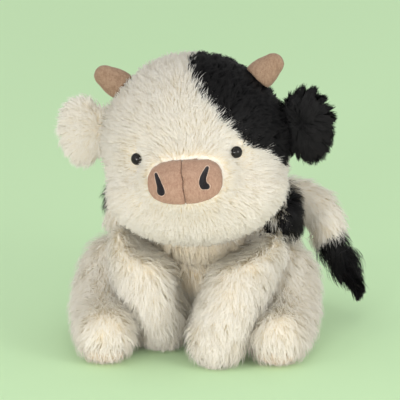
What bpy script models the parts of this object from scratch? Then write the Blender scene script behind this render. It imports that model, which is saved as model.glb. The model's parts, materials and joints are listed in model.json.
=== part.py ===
"""Sitting plush cow: fur-fabric skins over soft stuffing, sewn together at the neck, legs, ears and tail.

Metres, +Z up. The origin is the middle of the flat seat. The cow faces -Y, and its own left side is at +X.
Fur-fabric pieces are as large as their pile stands, so a wall of it is backing cloth and pile together.
"""

import math

import bmesh
import bpy
from mathutils import Matrix, Vector
from mathutils.geometry import interpolate_bezier

# Fabric and fit
SEAM_GAP = 0.0003  # between two pieces that touch
BED_GAP = 0.0004  # between a limb and the body that it presses into
STUFFING_GAP = 0.0007  # between a limb's skin and its stuffing
FUR_WALL = 0.0110  # fur fabric: backing cloth and pile
SEAT_WALL = 0.0050  # where the pile under the seat is pressed flat
VELOUR_WALL = 0.0018  # short-pile velour of the horns
FLAT_DEPTH = 0.0005  # how far the floor flattens a foot that rests on it
OVERRUN = 0.0200  # how far a cutter reaches past the piece it cuts
WELD = 0.00001
SOCKET_TURN_SHARE = 0.37  # of a facet, between a ball and its socket
OPENING_LIMIT_SHARE = 0.9  # of a limb's root radius, for the hole that it was stuffed through
ROUTE_POINTS = 33

# Body: a pear that leans forwards. Stations are height, lean, width and depth, as shares of the sizes above.
BODY_HEIGHT = 0.140
BODY_LEAN = 0.030
BODY_WIDTH = 0.162
BODY_DEPTH = 0.104
BODY_STATION_SHARES = [
    (0.000, 0.00, 0.60, 0.62),
    (0.030, 0.00, 0.78, 0.80),
    (0.110, 0.02, 0.93, 0.94),
    (0.250, 0.08, 1.00, 1.00),
    (0.420, 0.20, 1.00, 1.00),
    (0.600, 0.40, 1.00, 0.98),
    (0.760, 0.64, 1.00, 0.91),
    (0.880, 0.84, 0.93, 0.75),
    (0.960, 0.96, 0.71, 0.52),
    (1.000, 1.00, 0.30, 0.20),
]
BEAN_POUCH_WIDTH = 0.076
BEAN_POUCH_DEPTH = 0.046
BEAN_POUCH_HEIGHT = 0.026
POUCH_FULLNESS = 2.4

# Neck: a firm wad of stuffing that turns in the body and carries the head
NECK_RADIUS = 0.036
NECK_FORWARD = 0.038
NECK_HEIGHT = 0.104

# Head: a skull, jowls and a snout, joined. Shares are of half the skull's width, depth and height.
SKULL_WIDTH = 0.150
SKULL_DEPTH = 0.135
SKULL_HEIGHT = 0.156
SKULL_FORWARD = 0.022  # of the neck's centre
SKULL_LIFT = 0.060
HEAD_TILT = -6.0  # degrees about Y: its left side is carried higher
HEAD_SWING_ROOM = 0.010  # between head and body, for turning and nodding
SHOULDER_ROOM = 0.017  # between head and forelegs, for a leg that swings up
JOWL_WIDTH = 0.146
JOWL_DEPTH = 0.104
JOWL_HEIGHT = 0.088
JOWL_FORWARD_SHARE = 0.30
JOWL_DROP_SHARE = 0.36
SNOUT_WIDTH = 0.084
SNOUT_DEPTH = 0.064
SNOUT_HEIGHT = 0.062
SNOUT_FORWARD_SHARE = 0.80
SNOUT_DROP_SHARE = 0.14
LOBE_TURN_SHARE = 0.29  # of a facet, from one lobe to the next
BACK_TURN_SHARE = 0.41
HEAD_PATCH_ANGLE = 40.0  # degrees above +X, of the black patch's middle
HEAD_PATCH_EDGE = 0.049  # from the skull's centre to the patch

# Nose: two padded velour halves with a seam between them, and an embroidered nostril on each
NOSE_WIDTH = 0.060
NOSE_HEIGHT = 0.037
NOSE_PAD_THICKNESS = 0.0045
NOSE_LIFT_SHARE = 0.16  # of half the snout's height
NOSE_FULLNESS = 2.7  # 2 is an ellipse, and more is squarer
NOSTRIL_SPACING = 0.0365
NOSTRIL_LENGTH = 0.0150
NOSTRIL_LEAN = 0.0030  # how far its foot stands nearer the seam than its top
NOSTRIL_TOP_RADIUS = 0.0011
NOSTRIL_FOOT_RADIUS = 0.0019
NOSTRIL_SINK_SHARE = 0.45  # of its radius
NOSTRIL_BULGE_SHARE = 0.06  # of its length, for the nose's curve

# Eyes: plastic domes on shanks, each held by a washer inside the head
EYE_SPACING = 0.0835
EYE_RADIUS = 0.0048
EYE_DOME = 0.0038
EYE_LIFT_SHARE = 0.106  # of half the skull's height
EYE_SINK = 0.0035  # the pile is clipped round an eye
EYE_MARGIN = 0.0012
EYE_STEPS = 5
SHANK_RADIUS = 0.0017
WASHER_RADIUS = 0.0065
WASHER_THICKNESS = 0.0015

# Horns
HORN_SPACING = 0.105
HORN_LIFT = 0.052
HORN_BACK = 0.005
HORN_REACH = 0.019  # from its root's centre to its tip's
HORN_ROOT_RADIUS = 0.0118
HORN_MIDDLE_RADIUS = 0.0120
HORN_TIP_RADIUS = 0.0092
HORN_THICKNESS_SHARE = 0.75  # front to back
HORN_OPENING_RADIUS = 0.0039
HORN_ANGLE = 37.0  # degrees above the horizontal

# Ears: a front and a back panel, sewn round the rim, that flap about a seam at the head's side
EAR_LENGTH = 0.045
EAR_HEIGHT = 0.060
EAR_THICKNESS = 0.020
EAR_HINGE_INSET = 0.0045  # from its root end to the line that it flaps about
EAR_SEAM_RADIUS = 0.0071  # of the gathered bead at its root, which lies in a groove of the head
EAR_SEAM_HEIGHT = 0.030
EAR_SEAM_SIDES = 14
EAR_SPACING = 0.147  # between the two hinge lines
LEFT_EAR_LIFT = 0.012
RIGHT_EAR_LIFT = 0.020
EAR_BACK = 0.006

# Forelegs: each swells and tapers from a ball in the body's shoulder to a round foot
SHOULDER_SPACING = 0.096
SHOULDER_FORWARD = 0.054
SHOULDER_HEIGHT = 0.086
FORE_ROOT_RADIUS = 0.0238
FORE_MIDDLE_RADIUS = 0.0242
FORE_FOOT_RADIUS = 0.0236
FORELEG_SWING_LIMIT = 12.0  # degrees forwards
SHOULDER_CLEARANCE = 0.0007  # round its root, where it swings in the body
FORE_BOW = 0.022  # how far its shin stands in front of a straight line
LEFT_FORE_REACH = 0.057  # of the foot, in front of the shoulder
LEFT_FORE_FOOT_SIDE = 0.024
RIGHT_FORE_REACH = 0.014
RIGHT_FORE_FOOT_SIDE = 0.028
FORE_KNEE_SHARES = (0.30, 0.72)  # of the run from shoulder to foot, where the bow pulls

# Hind legs: each from a large haunch along the floor to a round foot with a velour sole
HIP_SPACING = 0.124
HIP_SHIFT = -0.0035  # the cow sits with its weight a little to its right
HIP_FORWARD = 0.020
HIP_HEIGHT = 0.045
HIND_ROOT_RADIUS = 0.0360
HIND_MIDDLE_RADIUS = 0.0245
HIND_FOOT_RADIUS = 0.0235
HIND_SHIN_OUT = 0.016  # how far the shin stands outside the hip
LEFT_HIND_REACH = 0.078
LEFT_HIND_FOOT_SIDE = 0.070
RIGHT_HIND_REACH = 0.090
RIGHT_HIND_FOOT_SIDE = 0.066
HIND_PULL_SHARES = (0.30, 0.70)  # of the reach, where the shin pulls outwards
HIND_SINK_SHARE = 0.60  # of the drop, that the thigh has come down at the first pull
SOLE_RADIUS = 0.0150
SOLE_THICKNESS = 0.0040
SOLE_ANGLE = 74.0  # degrees below straight ahead
LIMB_OPENING_RADIUS = 0.0070  # where a limb was stuffed
HAUNCH_CLEARANCE = 0.0042  # between a hind leg and the foreleg that swings past it

# Tail: a thick furry tube that curls round to the cow's left, with a tuft of long hair
TAIL_ROOT_SIDE = 0.008
TAIL_ROOT_BACK = 0.040
TAIL_ROOT_HEIGHT = 0.072
TAIL_ROOT_RADIUS = 0.0150
TAIL_MIDDLE_RADIUS = 0.0185
TAIL_END_RADIUS = 0.0145
TAIL_REACH = 0.087
TAIL_DROP = 0.006
TAIL_ARCH = 0.038
TAIL_START_REACH = 0.037
TAIL_START_BACK = 0.028
TAIL_START_RISE = 0.028
TAIL_END_BACK = 0.015
TAIL_CLEARANCE = 0.0012  # round its root, where it swings in the body
TUFT_LENGTH = 0.046
TUFT_ROOT_RADIUS = 0.0120
TUFT_MIDDLE_RADIUS = 0.0140
TUFT_TIP_RADIUS = 0.0035
TUFT_SLANT = 32.0  # degrees from straight down towards the cow's left

# Black saddle patch over the back
SADDLE_WIDTH = 0.230
SADDLE_DEPTH = 0.144
SADDLE_HEIGHT = 0.092
SADDLE_SIDE = 0.006
SADDLE_BACK = 0.034
SADDLE_LIFT = 0.132
SADDLE_TILT = 6.0
SADDLE_FULLNESS = 4.0
SADDLE_TURN_SHARE = 0.29  # of a facet, between the saddle and the body

LEFT, RIGHT = 1, -1  # the sign of X
SIDE_NAMES = {LEFT: "left", RIGHT: "right"}


def material(name, colour, roughness):
    made = bpy.data.materials.new(name)
    made.use_nodes = True
    shader = made.node_tree.nodes["Principled BSDF"]
    shader.inputs["Base Color"].default_value = (*colour, 1)
    shader.inputs["Roughness"].default_value = roughness
    made.diffuse_color = (*colour, 1)
    return made


def finishes():
    return {
        "white fur": material("white fur", (0.86, 0.81, 0.71), 0.90),
        "black fur": material("black fur", (0.012, 0.012, 0.013), 0.85),
        "tan velour": material("tan velour", (0.62, 0.40, 0.28), 0.80),
        "black thread": material("black thread", (0.015, 0.013, 0.015), 0.55),
        "eye plastic": material("eye plastic", (0.010, 0.010, 0.010), 0.08),
        "washer plastic": material("washer plastic", (0.75, 0.75, 0.72), 0.45),
        "stuffing": material("stuffing", (0.90, 0.90, 0.88), 0.95),
        "bean cloth": material("bean cloth", (0.55, 0.52, 0.46), 0.85),
    }


def empty(name, place, parent=None, rotation=(0, 0, 0)):
    made = bpy.data.objects.new(name, None)
    bpy.context.scene.collection.objects.link(made)
    made.parent = parent
    made.location = place
    made.rotation_euler = rotation
    return made


def piece(name, bm, finish, parent, place=(0, 0, 0), rotation=(0, 0, 0)):
    """One node: bm's mesh, which is freed, as an object under parent."""
    mesh = bpy.data.meshes.new(name)
    bm.to_mesh(mesh)
    bm.free()
    mesh.shade_smooth()
    mesh.set_sharp_from_angle(angle=math.radians(50))
    made = bpy.data.objects.new(name, mesh)
    bpy.context.scene.collection.objects.link(made)
    made.parent = parent
    made.location = place
    made.rotation_euler = rotation
    if finish:
        mesh.materials.append(finish)
    return made


def cutter(name, bm, parent, place=(0, 0, 0), rotation=(0, 0, 0)):
    made = piece(name, bm, None, parent, place, rotation)
    made.hide_render = True
    made.display_type = "WIRE"
    return made


def boolean(target, others, operation):
    for other in others:
        step = target.modifiers.new(f"{operation.lower()} {other.name}", "BOOLEAN")
        step.operation = operation
        step.object = other
        step.solver = "EXACT"


def cut(target, *others):
    boolean(target, others, "DIFFERENCE")


def join(target, *others):
    boolean(target, others, "UNION")


def keep_inside(target, *others):
    boolean(target, others, "INTERSECT")


def rounded(radii, sides, rings, fullness=2.0, turn_share=0.0):
    """An ellipsoid about the origin, or a squarer form where fullness is over 2.

    Its facets are turned by a share of one facet, so that they don't line up with those of a form it meets.
    """
    bm = bmesh.new()
    turn = Matrix.Rotation(2 * math.pi / sides * turn_share, 4, "Z")
    bmesh.ops.create_uvsphere(bm, u_segments=sides, v_segments=rings, radius=1, matrix=turn)
    for vert in bm.verts:
        size = sum(abs(c) ** fullness for c in vert.co) ** (1 / fullness)
        vert.co = Vector(c / size * radius for c, radius in zip(vert.co, radii))
    return bm


def ball_room(radius, clearance=SEAM_GAP, sides=16, rings=12):
    """A socket for a turning ball. Its flat facets stay outside the ball by the clearance."""
    facet_share = math.cos(math.pi / sides) * math.cos(math.pi / rings / 2)
    return rounded([(radius + clearance) / facet_share] * 3, sides, rings, turn_share=SOCKET_TURN_SHARE)


def box(low, high):
    bm = bmesh.new()
    bmesh.ops.create_cube(bm, size=1)
    for vert in bm.verts:
        vert.co = Vector(b if c > 0 else a for a, b, c in zip(low, high, vert.co))
    return bm


def plug(radii, low, high, sides, fullness=2.0):
    """A straight plug along Z with an elliptical outline, or a squarer one where fullness is over 2."""
    bm = bmesh.new()
    outline = bmesh.ops.create_circle(bm, segments=sides, radius=1, cap_ends=True)["verts"]
    for vert in outline:
        size = (abs(vert.co.x) ** fullness + abs(vert.co.y) ** fullness) ** (1 / fullness)
        vert.co = Vector((vert.co.x / size * radii[0], vert.co.y / size * radii[1], low))
    top = bmesh.ops.extrude_face_region(bm, geom=list(bm.faces))["geom"]
    top_verts = [v for v in top if isinstance(v, bmesh.types.BMVert)]
    bmesh.ops.translate(bm, vec=(0, 0, high - low), verts=top_verts)
    bmesh.ops.recalc_face_normals(bm, faces=bm.faces)
    return bm


def turned(profile, sides):
    """Spins (height, radius) points about Z. A profile that leaves the axis closes on itself."""
    bm = bmesh.new()
    line = [bm.verts.new((radius, 0, height)) for height, radius in profile]
    edges = [bm.edges.new(pair) for pair in zip(line, line[1:])]
    if profile[0][1] > WELD:
        edges.append(bm.edges.new((line[-1], line[0])))
    bmesh.ops.spin(
        bm, geom=line + edges, axis=(0, 0, 1), cent=(0, 0, 0), angle=2 * math.pi, steps=sides, use_merge=True
    )
    bmesh.ops.remove_doubles(bm, verts=bm.verts, dist=WELD)
    bmesh.ops.recalc_face_normals(bm, faces=bm.faces)
    return bm


class Route:
    """A smooth centreline from the origin, read by its length."""

    def __init__(self, start_pull, end_pull, end, across):
        pulls = (Vector(start_pull), Vector(end_pull))
        self.points = interpolate_bezier(Vector(), *pulls, Vector(end), ROUTE_POINTS)
        self.across = Vector(across)
        self.heights = [0.0]
        for a, b in zip(self.points, self.points[1:]):
            self.heights.append(self.heights[-1] + (b - a).length)
        self.length = self.heights[-1]

    def place(self, height):
        """The point at this height, and the three axes there. Past either end the route runs straight on."""
        inside = min(max(height, 0.0), self.length)
        step = next(i for i, h in enumerate(self.heights[1:]) if h >= inside - WELD)
        low, high = self.points[step], self.points[step + 1]
        share = (inside - self.heights[step]) / (self.heights[step + 1] - self.heights[step])
        before = self.points[max(step - 1, 0)]
        after = self.points[min(step + 2, len(self.points) - 1)]
        along = (high - before).normalized().lerp((after - low).normalized(), share).normalized()
        side = (self.across - along * self.across.dot(along)).normalized()
        centre = low.lerp(high, share) + along * (height - inside)
        return centre, side, along.cross(side)

    def bend(self, bm, thickness_share=1.0):
        for vert in bm.verts:
            centre, side, up = self.place(vert.co.z)
            vert.co = centre + side * vert.co.x + up * vert.co.y * thickness_share
        return bm


def limb_profile(length, radii, wall=0.0, opening=0.0, cap_steps=4, tube_steps=6):
    """(height, radius) points from a limb's far tip to its root, a wall inside the outer form."""
    root, middle, end = (radius - wall for radius in radii)
    points = []
    for i in range(cap_steps):
        angle = math.radians(90) * i / cap_steps
        points.append((length + end * math.cos(angle), end * math.sin(angle)))
    for i in range(tube_steps + 1):
        t = 1 - i / tube_steps
        radius = root * (1 - t) * (1 - 2 * t) + 4 * middle * t * (1 - t) + end * t * (2 * t - 1)
        points.append((length * t, radius))
    last = math.asin(min(opening / root, OPENING_LIMIT_SHARE))
    for i in range(1, cap_steps + 1):
        angle = math.radians(90) + (last - math.radians(90)) * i / cap_steps
        points.append((-root * math.cos(angle), root * math.sin(angle)))
    return points


def limb_form(route, radii, sides, grow=0.0, thickness_share=1.0, cap_steps=4, tube_steps=6, opening=0.0):
    """A closed limb, inset where grow is negative, and flat across its opening where it has one."""
    profile = limb_profile(route.length, radii, -grow, opening, cap_steps, tube_steps)
    if opening:
        profile.append((profile[-1][0], 0.0))
    return route.bend(turned(profile, sides), thickness_share)


def limb_skin(route, radii, wall, sides, opening, thickness_share=1.0, cap_steps=4, tube_steps=6):
    """A limb's wall, whose two faces start on the axis at its tip and join at the opening's rim."""
    outside = limb_profile(route.length, radii, 0.0, opening, cap_steps, tube_steps)
    inside = limb_profile(route.length, radii, wall, opening, cap_steps - 1, tube_steps - 1)
    return route.bend(turned(outside + inside[::-1], sides), thickness_share)


def body_form(inset, floor, sides):
    """The pear, inset all round, with its flat base at floor."""
    bm = bmesh.new()
    rings = []
    for height, lean, width, depth in BODY_STATION_SHARES:
        ring = bmesh.ops.create_circle(bm, segments=sides, radius=1)["verts"]
        middle_y = -lean * BODY_LEAN
        level = floor + height * (BODY_HEIGHT - inset - floor)
        for vert in ring:
            x = vert.co.x * width * (BODY_WIDTH / 2 - inset)
            y = vert.co.y * depth * (BODY_DEPTH / 2 - inset)
            vert.co = Vector((x, middle_y + y, level))
        rings.append(ring)
    edge_rings = [[e for e in bm.edges if e.verts[0] in ring] for ring in rings]
    for lower, upper in zip(edge_rings, edge_rings[1:]):
        bmesh.ops.bridge_loops(bm, edges=lower + upper)
    for ring in (edge_rings[0], edge_rings[-1]):
        bmesh.ops.contextual_create(bm, geom=ring)
    bmesh.ops.recalc_face_normals(bm, faces=bm.faces)
    return bm


def lobes(inset, sides):
    """The head's three lobes as (place, mesh), each inset all round. Places are from the skull's centre."""
    jowl = Vector((0, -JOWL_FORWARD_SHARE * SKULL_DEPTH / 2, -JOWL_DROP_SHARE * SKULL_HEIGHT / 2))
    sizes = [
        (Vector(), (SKULL_WIDTH, SKULL_DEPTH, SKULL_HEIGHT)),
        (jowl, (JOWL_WIDTH, JOWL_DEPTH, JOWL_HEIGHT)),
        (snout_place(), (SNOUT_WIDTH, SNOUT_DEPTH, SNOUT_HEIGHT)),
    ]
    made = []
    for number, (place, box_size) in enumerate(sizes):
        radii = [size / 2 - inset for size in box_size]
        made.append((place, rounded(radii, sides, sides // 2, turn_share=number * LOBE_TURN_SHARE)))
    return made


def snout_place():
    drop = -SNOUT_DROP_SHARE * SKULL_HEIGHT / 2
    return Vector((0, -SNOUT_FORWARD_SHARE * SKULL_DEPTH / 2, drop))


def head_form(name, inset, head, sides, finish=None):
    """The whole head, inset all round: a cutter, or a node where it has a finish."""
    (skull, skull_mesh), *others = lobes(inset, sides)
    if finish:
        form = piece(name, skull_mesh, finish, head, skull)
    else:
        form = cutter(name, skull_mesh, head, skull)
    for number, (place, mesh) in enumerate(others):
        join(form, cutter(f"{name} lobe {number + 1}", mesh, head, place))
    return form


def skull_surface(x, z):
    """How far in front of the skull's centre its surface lies."""
    share = 1 - (2 * x / SKULL_WIDTH) ** 2 - (2 * z / SKULL_HEIGHT) ** 2
    return SKULL_DEPTH / 2 * math.sqrt(share)


def snout_surface(x, z):
    share = 1 - (2 * x / SNOUT_WIDTH) ** 2 - (2 * z / SNOUT_HEIGHT) ** 2
    return SNOUT_DEPTH / 2 * math.sqrt(share)


def build_body(finish, frames):
    """Skin, saddle patch, stuffing and bean pouch. Returns the first three, which the rest presses into."""
    inner = cutter("body cavity", body_form(FUR_WALL, SEAT_WALL, 16), frames["body"])
    saddle_at = (SADDLE_SIDE, SADDLE_BACK, SADDLE_LIFT)
    saddle_turn = (0, math.radians(SADDLE_TILT), 0)
    saddle_size = Vector((SADDLE_WIDTH, SADDLE_DEPTH, SADDLE_HEIGHT)) / 2
    seam = Vector((SEAM_GAP, SEAM_GAP, SEAM_GAP))
    saddle_form = rounded(saddle_size, 20, 10, SADDLE_FULLNESS, SADDLE_TURN_SHARE)
    saddle = cutter("saddle", saddle_form, frames["body"], saddle_at, saddle_turn)
    grown = rounded(saddle_size + seam, 20, 10, SADDLE_FULLNESS, SADDLE_TURN_SHARE)
    saddle_hole = cutter("saddle hole", grown, frames["body"], saddle_at, saddle_turn)
    skin = piece("body_skin", body_form(0.0, 0.0, 24), finish["white fur"], frames["body"])
    patch = piece("back_patch", body_form(0.0, 0.0, 24), finish["black fur"], frames["body"])
    cut(skin, inner, saddle_hole)
    cut(patch, inner)
    keep_inside(patch, saddle)
    stuffing_form = body_form(FUR_WALL + STUFFING_GAP, SEAT_WALL + SEAM_GAP, 16)
    stuffing = piece("body_stuffing", stuffing_form, finish["stuffing"], frames["body"])
    pouch_size = Vector((BEAN_POUCH_WIDTH / 2, BEAN_POUCH_DEPTH / 2, BEAN_POUCH_HEIGHT))
    pouch_at = (0, 0, SEAT_WALL + SEAM_GAP)
    reach = BODY_WIDTH + OVERRUN
    lower_half = box((-reach, -reach, -BEAN_POUCH_HEIGHT - OVERRUN), (reach, reach, pouch_at[2]))
    pouch_form = rounded(pouch_size, 16, 10, POUCH_FULLNESS)
    pouch = piece("bean_pouch", pouch_form, finish["bean cloth"], frames["body"], pouch_at)
    pocket_form = rounded(pouch_size + seam * 2, 16, 10, POUCH_FULLNESS)
    pocket = cutter("bean pocket", pocket_form, frames["body"], pouch_at)
    cut(pouch, cutter("below the pouch", lower_half, frames["body"]))
    cut(stuffing, pocket)
    return skin, patch, stuffing


def build_neck(finish, frames):
    piece("neck_wad", rounded([NECK_RADIUS] * 3, 16, 12), finish["stuffing"], frames["neck"])
    return cutter("neck socket", ball_room(NECK_RADIUS), frames["neck"])


def build_head(finish, frames, neck_socket):
    """Skin, black patch and stuffing. Returns those that the horns, ears, eyes and nose are set into."""
    head = frames["head"]
    inner = head_form("head cavity", FUR_WALL, head, 16)
    turn = (0, -math.radians(HEAD_PATCH_ANGLE), 0)
    reach = SKULL_WIDTH / 2 + OVERRUN
    pieces = []
    for name, colour, operation, edge in (
        ("head_skin", "white fur", cut, HEAD_PATCH_EDGE),
        ("head_patch", "black fur", keep_inside, HEAD_PATCH_EDGE + SEAM_GAP),
    ):
        beyond = box((edge, -reach, -reach), (reach + OVERRUN, reach, reach))
        half_space = cutter(f"{name} edge", beyond, head, rotation=turn)
        made = head_form(name, 0.0, head, 24, finish[colour])
        cut(made, inner, neck_socket)
        operation(made, half_space)
        pieces.append(made)
    stuffing = head_form("head_stuffing", FUR_WALL + SEAM_GAP, head, 16, finish["stuffing"])
    cut(stuffing, neck_socket)
    return pieces[0], pieces[1], stuffing


def build_nose(finish, frames, skin):
    head = frames["head"]
    place = snout_place() + Vector((0, 0, NOSE_LIFT_SHARE * SNOUT_HEIGHT / 2))
    front = (math.radians(90), 0, 0)
    half = Vector((NOSE_WIDTH / 2, NOSE_HEIGHT / 2))
    snout = [SNOUT_WIDTH / 2, SNOUT_DEPTH / 2, SNOUT_HEIGHT / 2]

    def shell(name, grow, finish_used=None):
        outline = plug(half + Vector((grow, grow)), 0, SNOUT_DEPTH / 2 + OVERRUN, 20, NOSE_FULLNESS)
        if finish_used:
            made = piece(name, outline, finish_used, head, place, front)
        else:
            made = cutter(name, outline, head, place, front)
        back = [radius - NOSE_PAD_THICKNESS - grow for radius in snout]
        back_form = rounded(back, 16, 10, turn_share=BACK_TURN_SHARE)
        cut(made, cutter(f"{name} back", back_form, head, snout_place()))
        return made

    cut(skin, shell("nose recess", SEAM_GAP))
    face = cutter("snout face", rounded(snout, 24, 12, turn_share=2 * LOBE_TURN_SHARE), head, snout_place())
    for side in (LEFT, RIGHT):
        pad = shell(f"nose_pad_{SIDE_NAMES[side]}", 0.0, finish["tan velour"])
        keep_inside(pad, face)
        across = sorted((side * SEAM_GAP / 2, side * NOSE_WIDTH))
        half_space = box((across[0], -SNOUT_DEPTH, -NOSE_HEIGHT), (across[1], OVERRUN, NOSE_HEIGHT))
        keep_inside(pad, cutter(f"nose half {SIDE_NAMES[side]}", half_space, head, place))
        build_nostril(side, finish, head, place, pad)


def build_nostril(side, finish, head, nose_place, pad):
    """A satin-stitched comma, its foot wider and nearer the seam than its top."""
    lift = nose_place.z - snout_place().z
    ends = []
    for share in (0.5, -0.5):
        x = NOSTRIL_SPACING / 2 + share * NOSTRIL_LEAN
        z = lift + share * NOSTRIL_LENGTH
        ends.append(snout_place() + Vector((side * x, -snout_surface(x, z), z)))
    radii = (NOSTRIL_TOP_RADIUS, (NOSTRIL_TOP_RADIUS + NOSTRIL_FOOT_RADIUS) / 2, NOSTRIL_FOOT_RADIUS)
    top, foot = ends
    run = foot - top
    forward = Vector((0, -run.length * NOSTRIL_BULGE_SHARE, 0))
    route = Route(run / 3 + forward, run * 2 / 3 + forward, run, (0, 1, 0))
    place = top + Vector((0, radii[1] * NOSTRIL_SINK_SHARE, 0))
    name = f"nostril_{SIDE_NAMES[side]}"
    piece(name, limb_form(route, radii, 6, cap_steps=2, tube_steps=3), finish["black thread"], head, place)
    grown = limb_form(route, radii, 6, SEAM_GAP, cap_steps=2, tube_steps=3)
    cut(pad, cutter(f"{name} bed", grown, head, place))


def build_eye(side, finish, frames, skin, stuffing):
    """The dome's flat back sits on the clipped pile, and the washer is pushed on inside the skin."""
    head = frames["head"]
    x, z = EYE_SPACING / 2, EYE_LIFT_SHARE * SKULL_HEIGHT / 2
    y = skull_surface(x, z)
    outward = Vector((side * x / SKULL_WIDTH**2, -y / SKULL_DEPTH**2, z / SKULL_HEIGHT**2)).normalized()
    place = Vector((side * x, -y, z)) - outward * EYE_SINK
    turn = outward.to_track_quat("Z", "Y").to_euler()
    name = SIDE_NAMES[side]
    washer_top = -(FUR_WALL - EYE_SINK) - SEAM_GAP
    shank_end = washer_top - WASHER_THICKNESS - SEAM_GAP
    angles = [math.pi / 2 * i / EYE_STEPS for i in range(EYE_STEPS + 1)]
    dome = [(EYE_DOME * math.cos(a), EYE_RADIUS * math.sin(a)) for a in angles]
    profile = dome + [(0, SHANK_RADIUS), (shank_end, SHANK_RADIUS), (shank_end, 0)]
    piece(f"eye_{name}", turned(profile, 14), finish["eye plastic"], head, place, turn)
    washer = [
        (washer_top, SHANK_RADIUS + SEAM_GAP),
        (washer_top, WASHER_RADIUS),
        (washer_top - WASHER_THICKNESS, WASHER_RADIUS),
        (washer_top - WASHER_THICKNESS, SHANK_RADIUS + SEAM_GAP),
    ]
    piece(f"eye_washer_{name}", turned(washer, 12), finish["washer plastic"], head, place, turn)
    recess = plug([EYE_RADIUS + EYE_MARGIN] * 2, -SEAM_GAP, EYE_SINK + OVERRUN, 12)
    hole = plug([SHANK_RADIUS + SEAM_GAP] * 2, shank_end, EYE_SINK, 12)
    room = plug([WASHER_RADIUS + SEAM_GAP] * 2, shank_end - SEAM_GAP * 2, washer_top + SEAM_GAP * 3, 12)
    washer_room = cutter(f"washer room {name}", room, head, place, turn)
    cut(skin, cutter(f"eye recess {name}", recess, head, place, turn))
    cut(skin, cutter(f"shank hole {name}", hole, head, place, turn))
    cut(skin, washer_room)
    cut(stuffing, washer_room)


def build_horn(side, finish, frames, head_outline):
    head = frames["head"]
    name = SIDE_NAMES[side]
    angle = math.radians(HORN_ANGLE)
    direction = Vector((side * math.cos(angle), 0, math.sin(angle)))
    run = direction * HORN_REACH
    route = Route(run / 3, run * 2 / 3, run, (0, 0, 1))
    radii = (HORN_ROOT_RADIUS, HORN_MIDDLE_RADIUS, HORN_TIP_RADIUS)
    place = Vector((side * HORN_SPACING / 2, HORN_BACK, HORN_LIFT))
    share = HORN_THICKNESS_SHARE
    skin = limb_skin(route, radii, VELOUR_WALL, 14, HORN_OPENING_RADIUS, share, 4, 3)
    stuffing = limb_form(route, radii, 12, -VELOUR_WALL - STUFFING_GAP, share, 3, 3)
    cut(piece(f"horn_{name}", skin, finish["tan velour"], head, place), head_outline)
    cut(piece(f"horn_stuffing_{name}", stuffing, finish["stuffing"], head, place), head_outline)


def build_ear(side, colour, finish, frames, head_pieces):
    """Two panels sewn round the rim, whose gathered root lies in a shallow groove of the head."""
    name = SIDE_NAMES[side]
    ear = frames[f"ear {name}"]
    middle = (side * (EAR_LENGTH / 2 - EAR_HINGE_INSET), 0, 0)
    size = (EAR_LENGTH / 2, EAR_THICKNESS / 2, EAR_HEIGHT / 2)
    depth = EAR_THICKNESS / 2 + OVERRUN
    for panel, low, high in (("front", -depth, -SEAM_GAP / 2), ("back", SEAM_GAP / 2, depth)):
        made = piece(f"ear_{panel}_{name}", rounded(size, 20, 10), finish[colour], ear, middle)
        bead = plug([EAR_SEAM_RADIUS] * 2, -EAR_SEAM_HEIGHT / 2, EAR_SEAM_HEIGHT / 2, EAR_SEAM_SIDES)
        join(made, cutter(f"ear {panel} root {name}", bead, ear))
        half = box((-EAR_LENGTH, low, -EAR_HEIGHT), (EAR_LENGTH, high, EAR_HEIGHT))
        keep_inside(made, cutter(f"ear {panel} half {name}", half, ear))
    groove_radius = (EAR_SEAM_RADIUS + SEAM_GAP) / math.cos(math.pi / EAR_SEAM_SIDES)
    groove = plug([groove_radius] * 2, -EAR_HEIGHT / 2, EAR_HEIGHT / 2, EAR_SEAM_SIDES)
    cutter_made = cutter(f"ear seam {name}", groove, frames["head"], ear.location)
    for target in head_pieces:
        cut(target, cutter_made)


def build_limb(name, parent, route, radii, finish, sides, cutters, tube_steps=6):
    skin_mesh = limb_skin(route, radii, FUR_WALL, sides, LIMB_OPENING_RADIUS, tube_steps=tube_steps)
    skin = piece(f"{name}_skin", skin_mesh, finish["white fur"], parent)
    filling_mesh = limb_form(
        route, radii, sides, -FUR_WALL - STUFFING_GAP,
        cap_steps=3, tube_steps=tube_steps - 1, opening=LIMB_OPENING_RADIUS,
    )
    filling = piece(f"{name}_stuffing", filling_mesh, finish["stuffing"], parent)
    cut(skin, *cutters)
    cut(filling, *cutters)
    return skin


def room_for_swing(side, frames, hindleg_room):
    """The hind leg's room as the foreleg meets it when it is fully raised."""
    name = SIDE_NAMES[side]
    shoulder, hip = frames[f"shoulder {name}"], frames[f"hip {name}"]
    turn = (math.radians(FORELEG_SWING_LIMIT), 0, 0)
    turned_back = empty(f"raised {name}", shoulder.location, frames["body"], turn)
    made = hindleg_room.copy()
    bpy.context.scene.collection.objects.link(made)
    made.name = f"{hindleg_room.name} raised"
    made.parent = turned_back
    made.location = hip.location - shoulder.location
    return made


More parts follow.
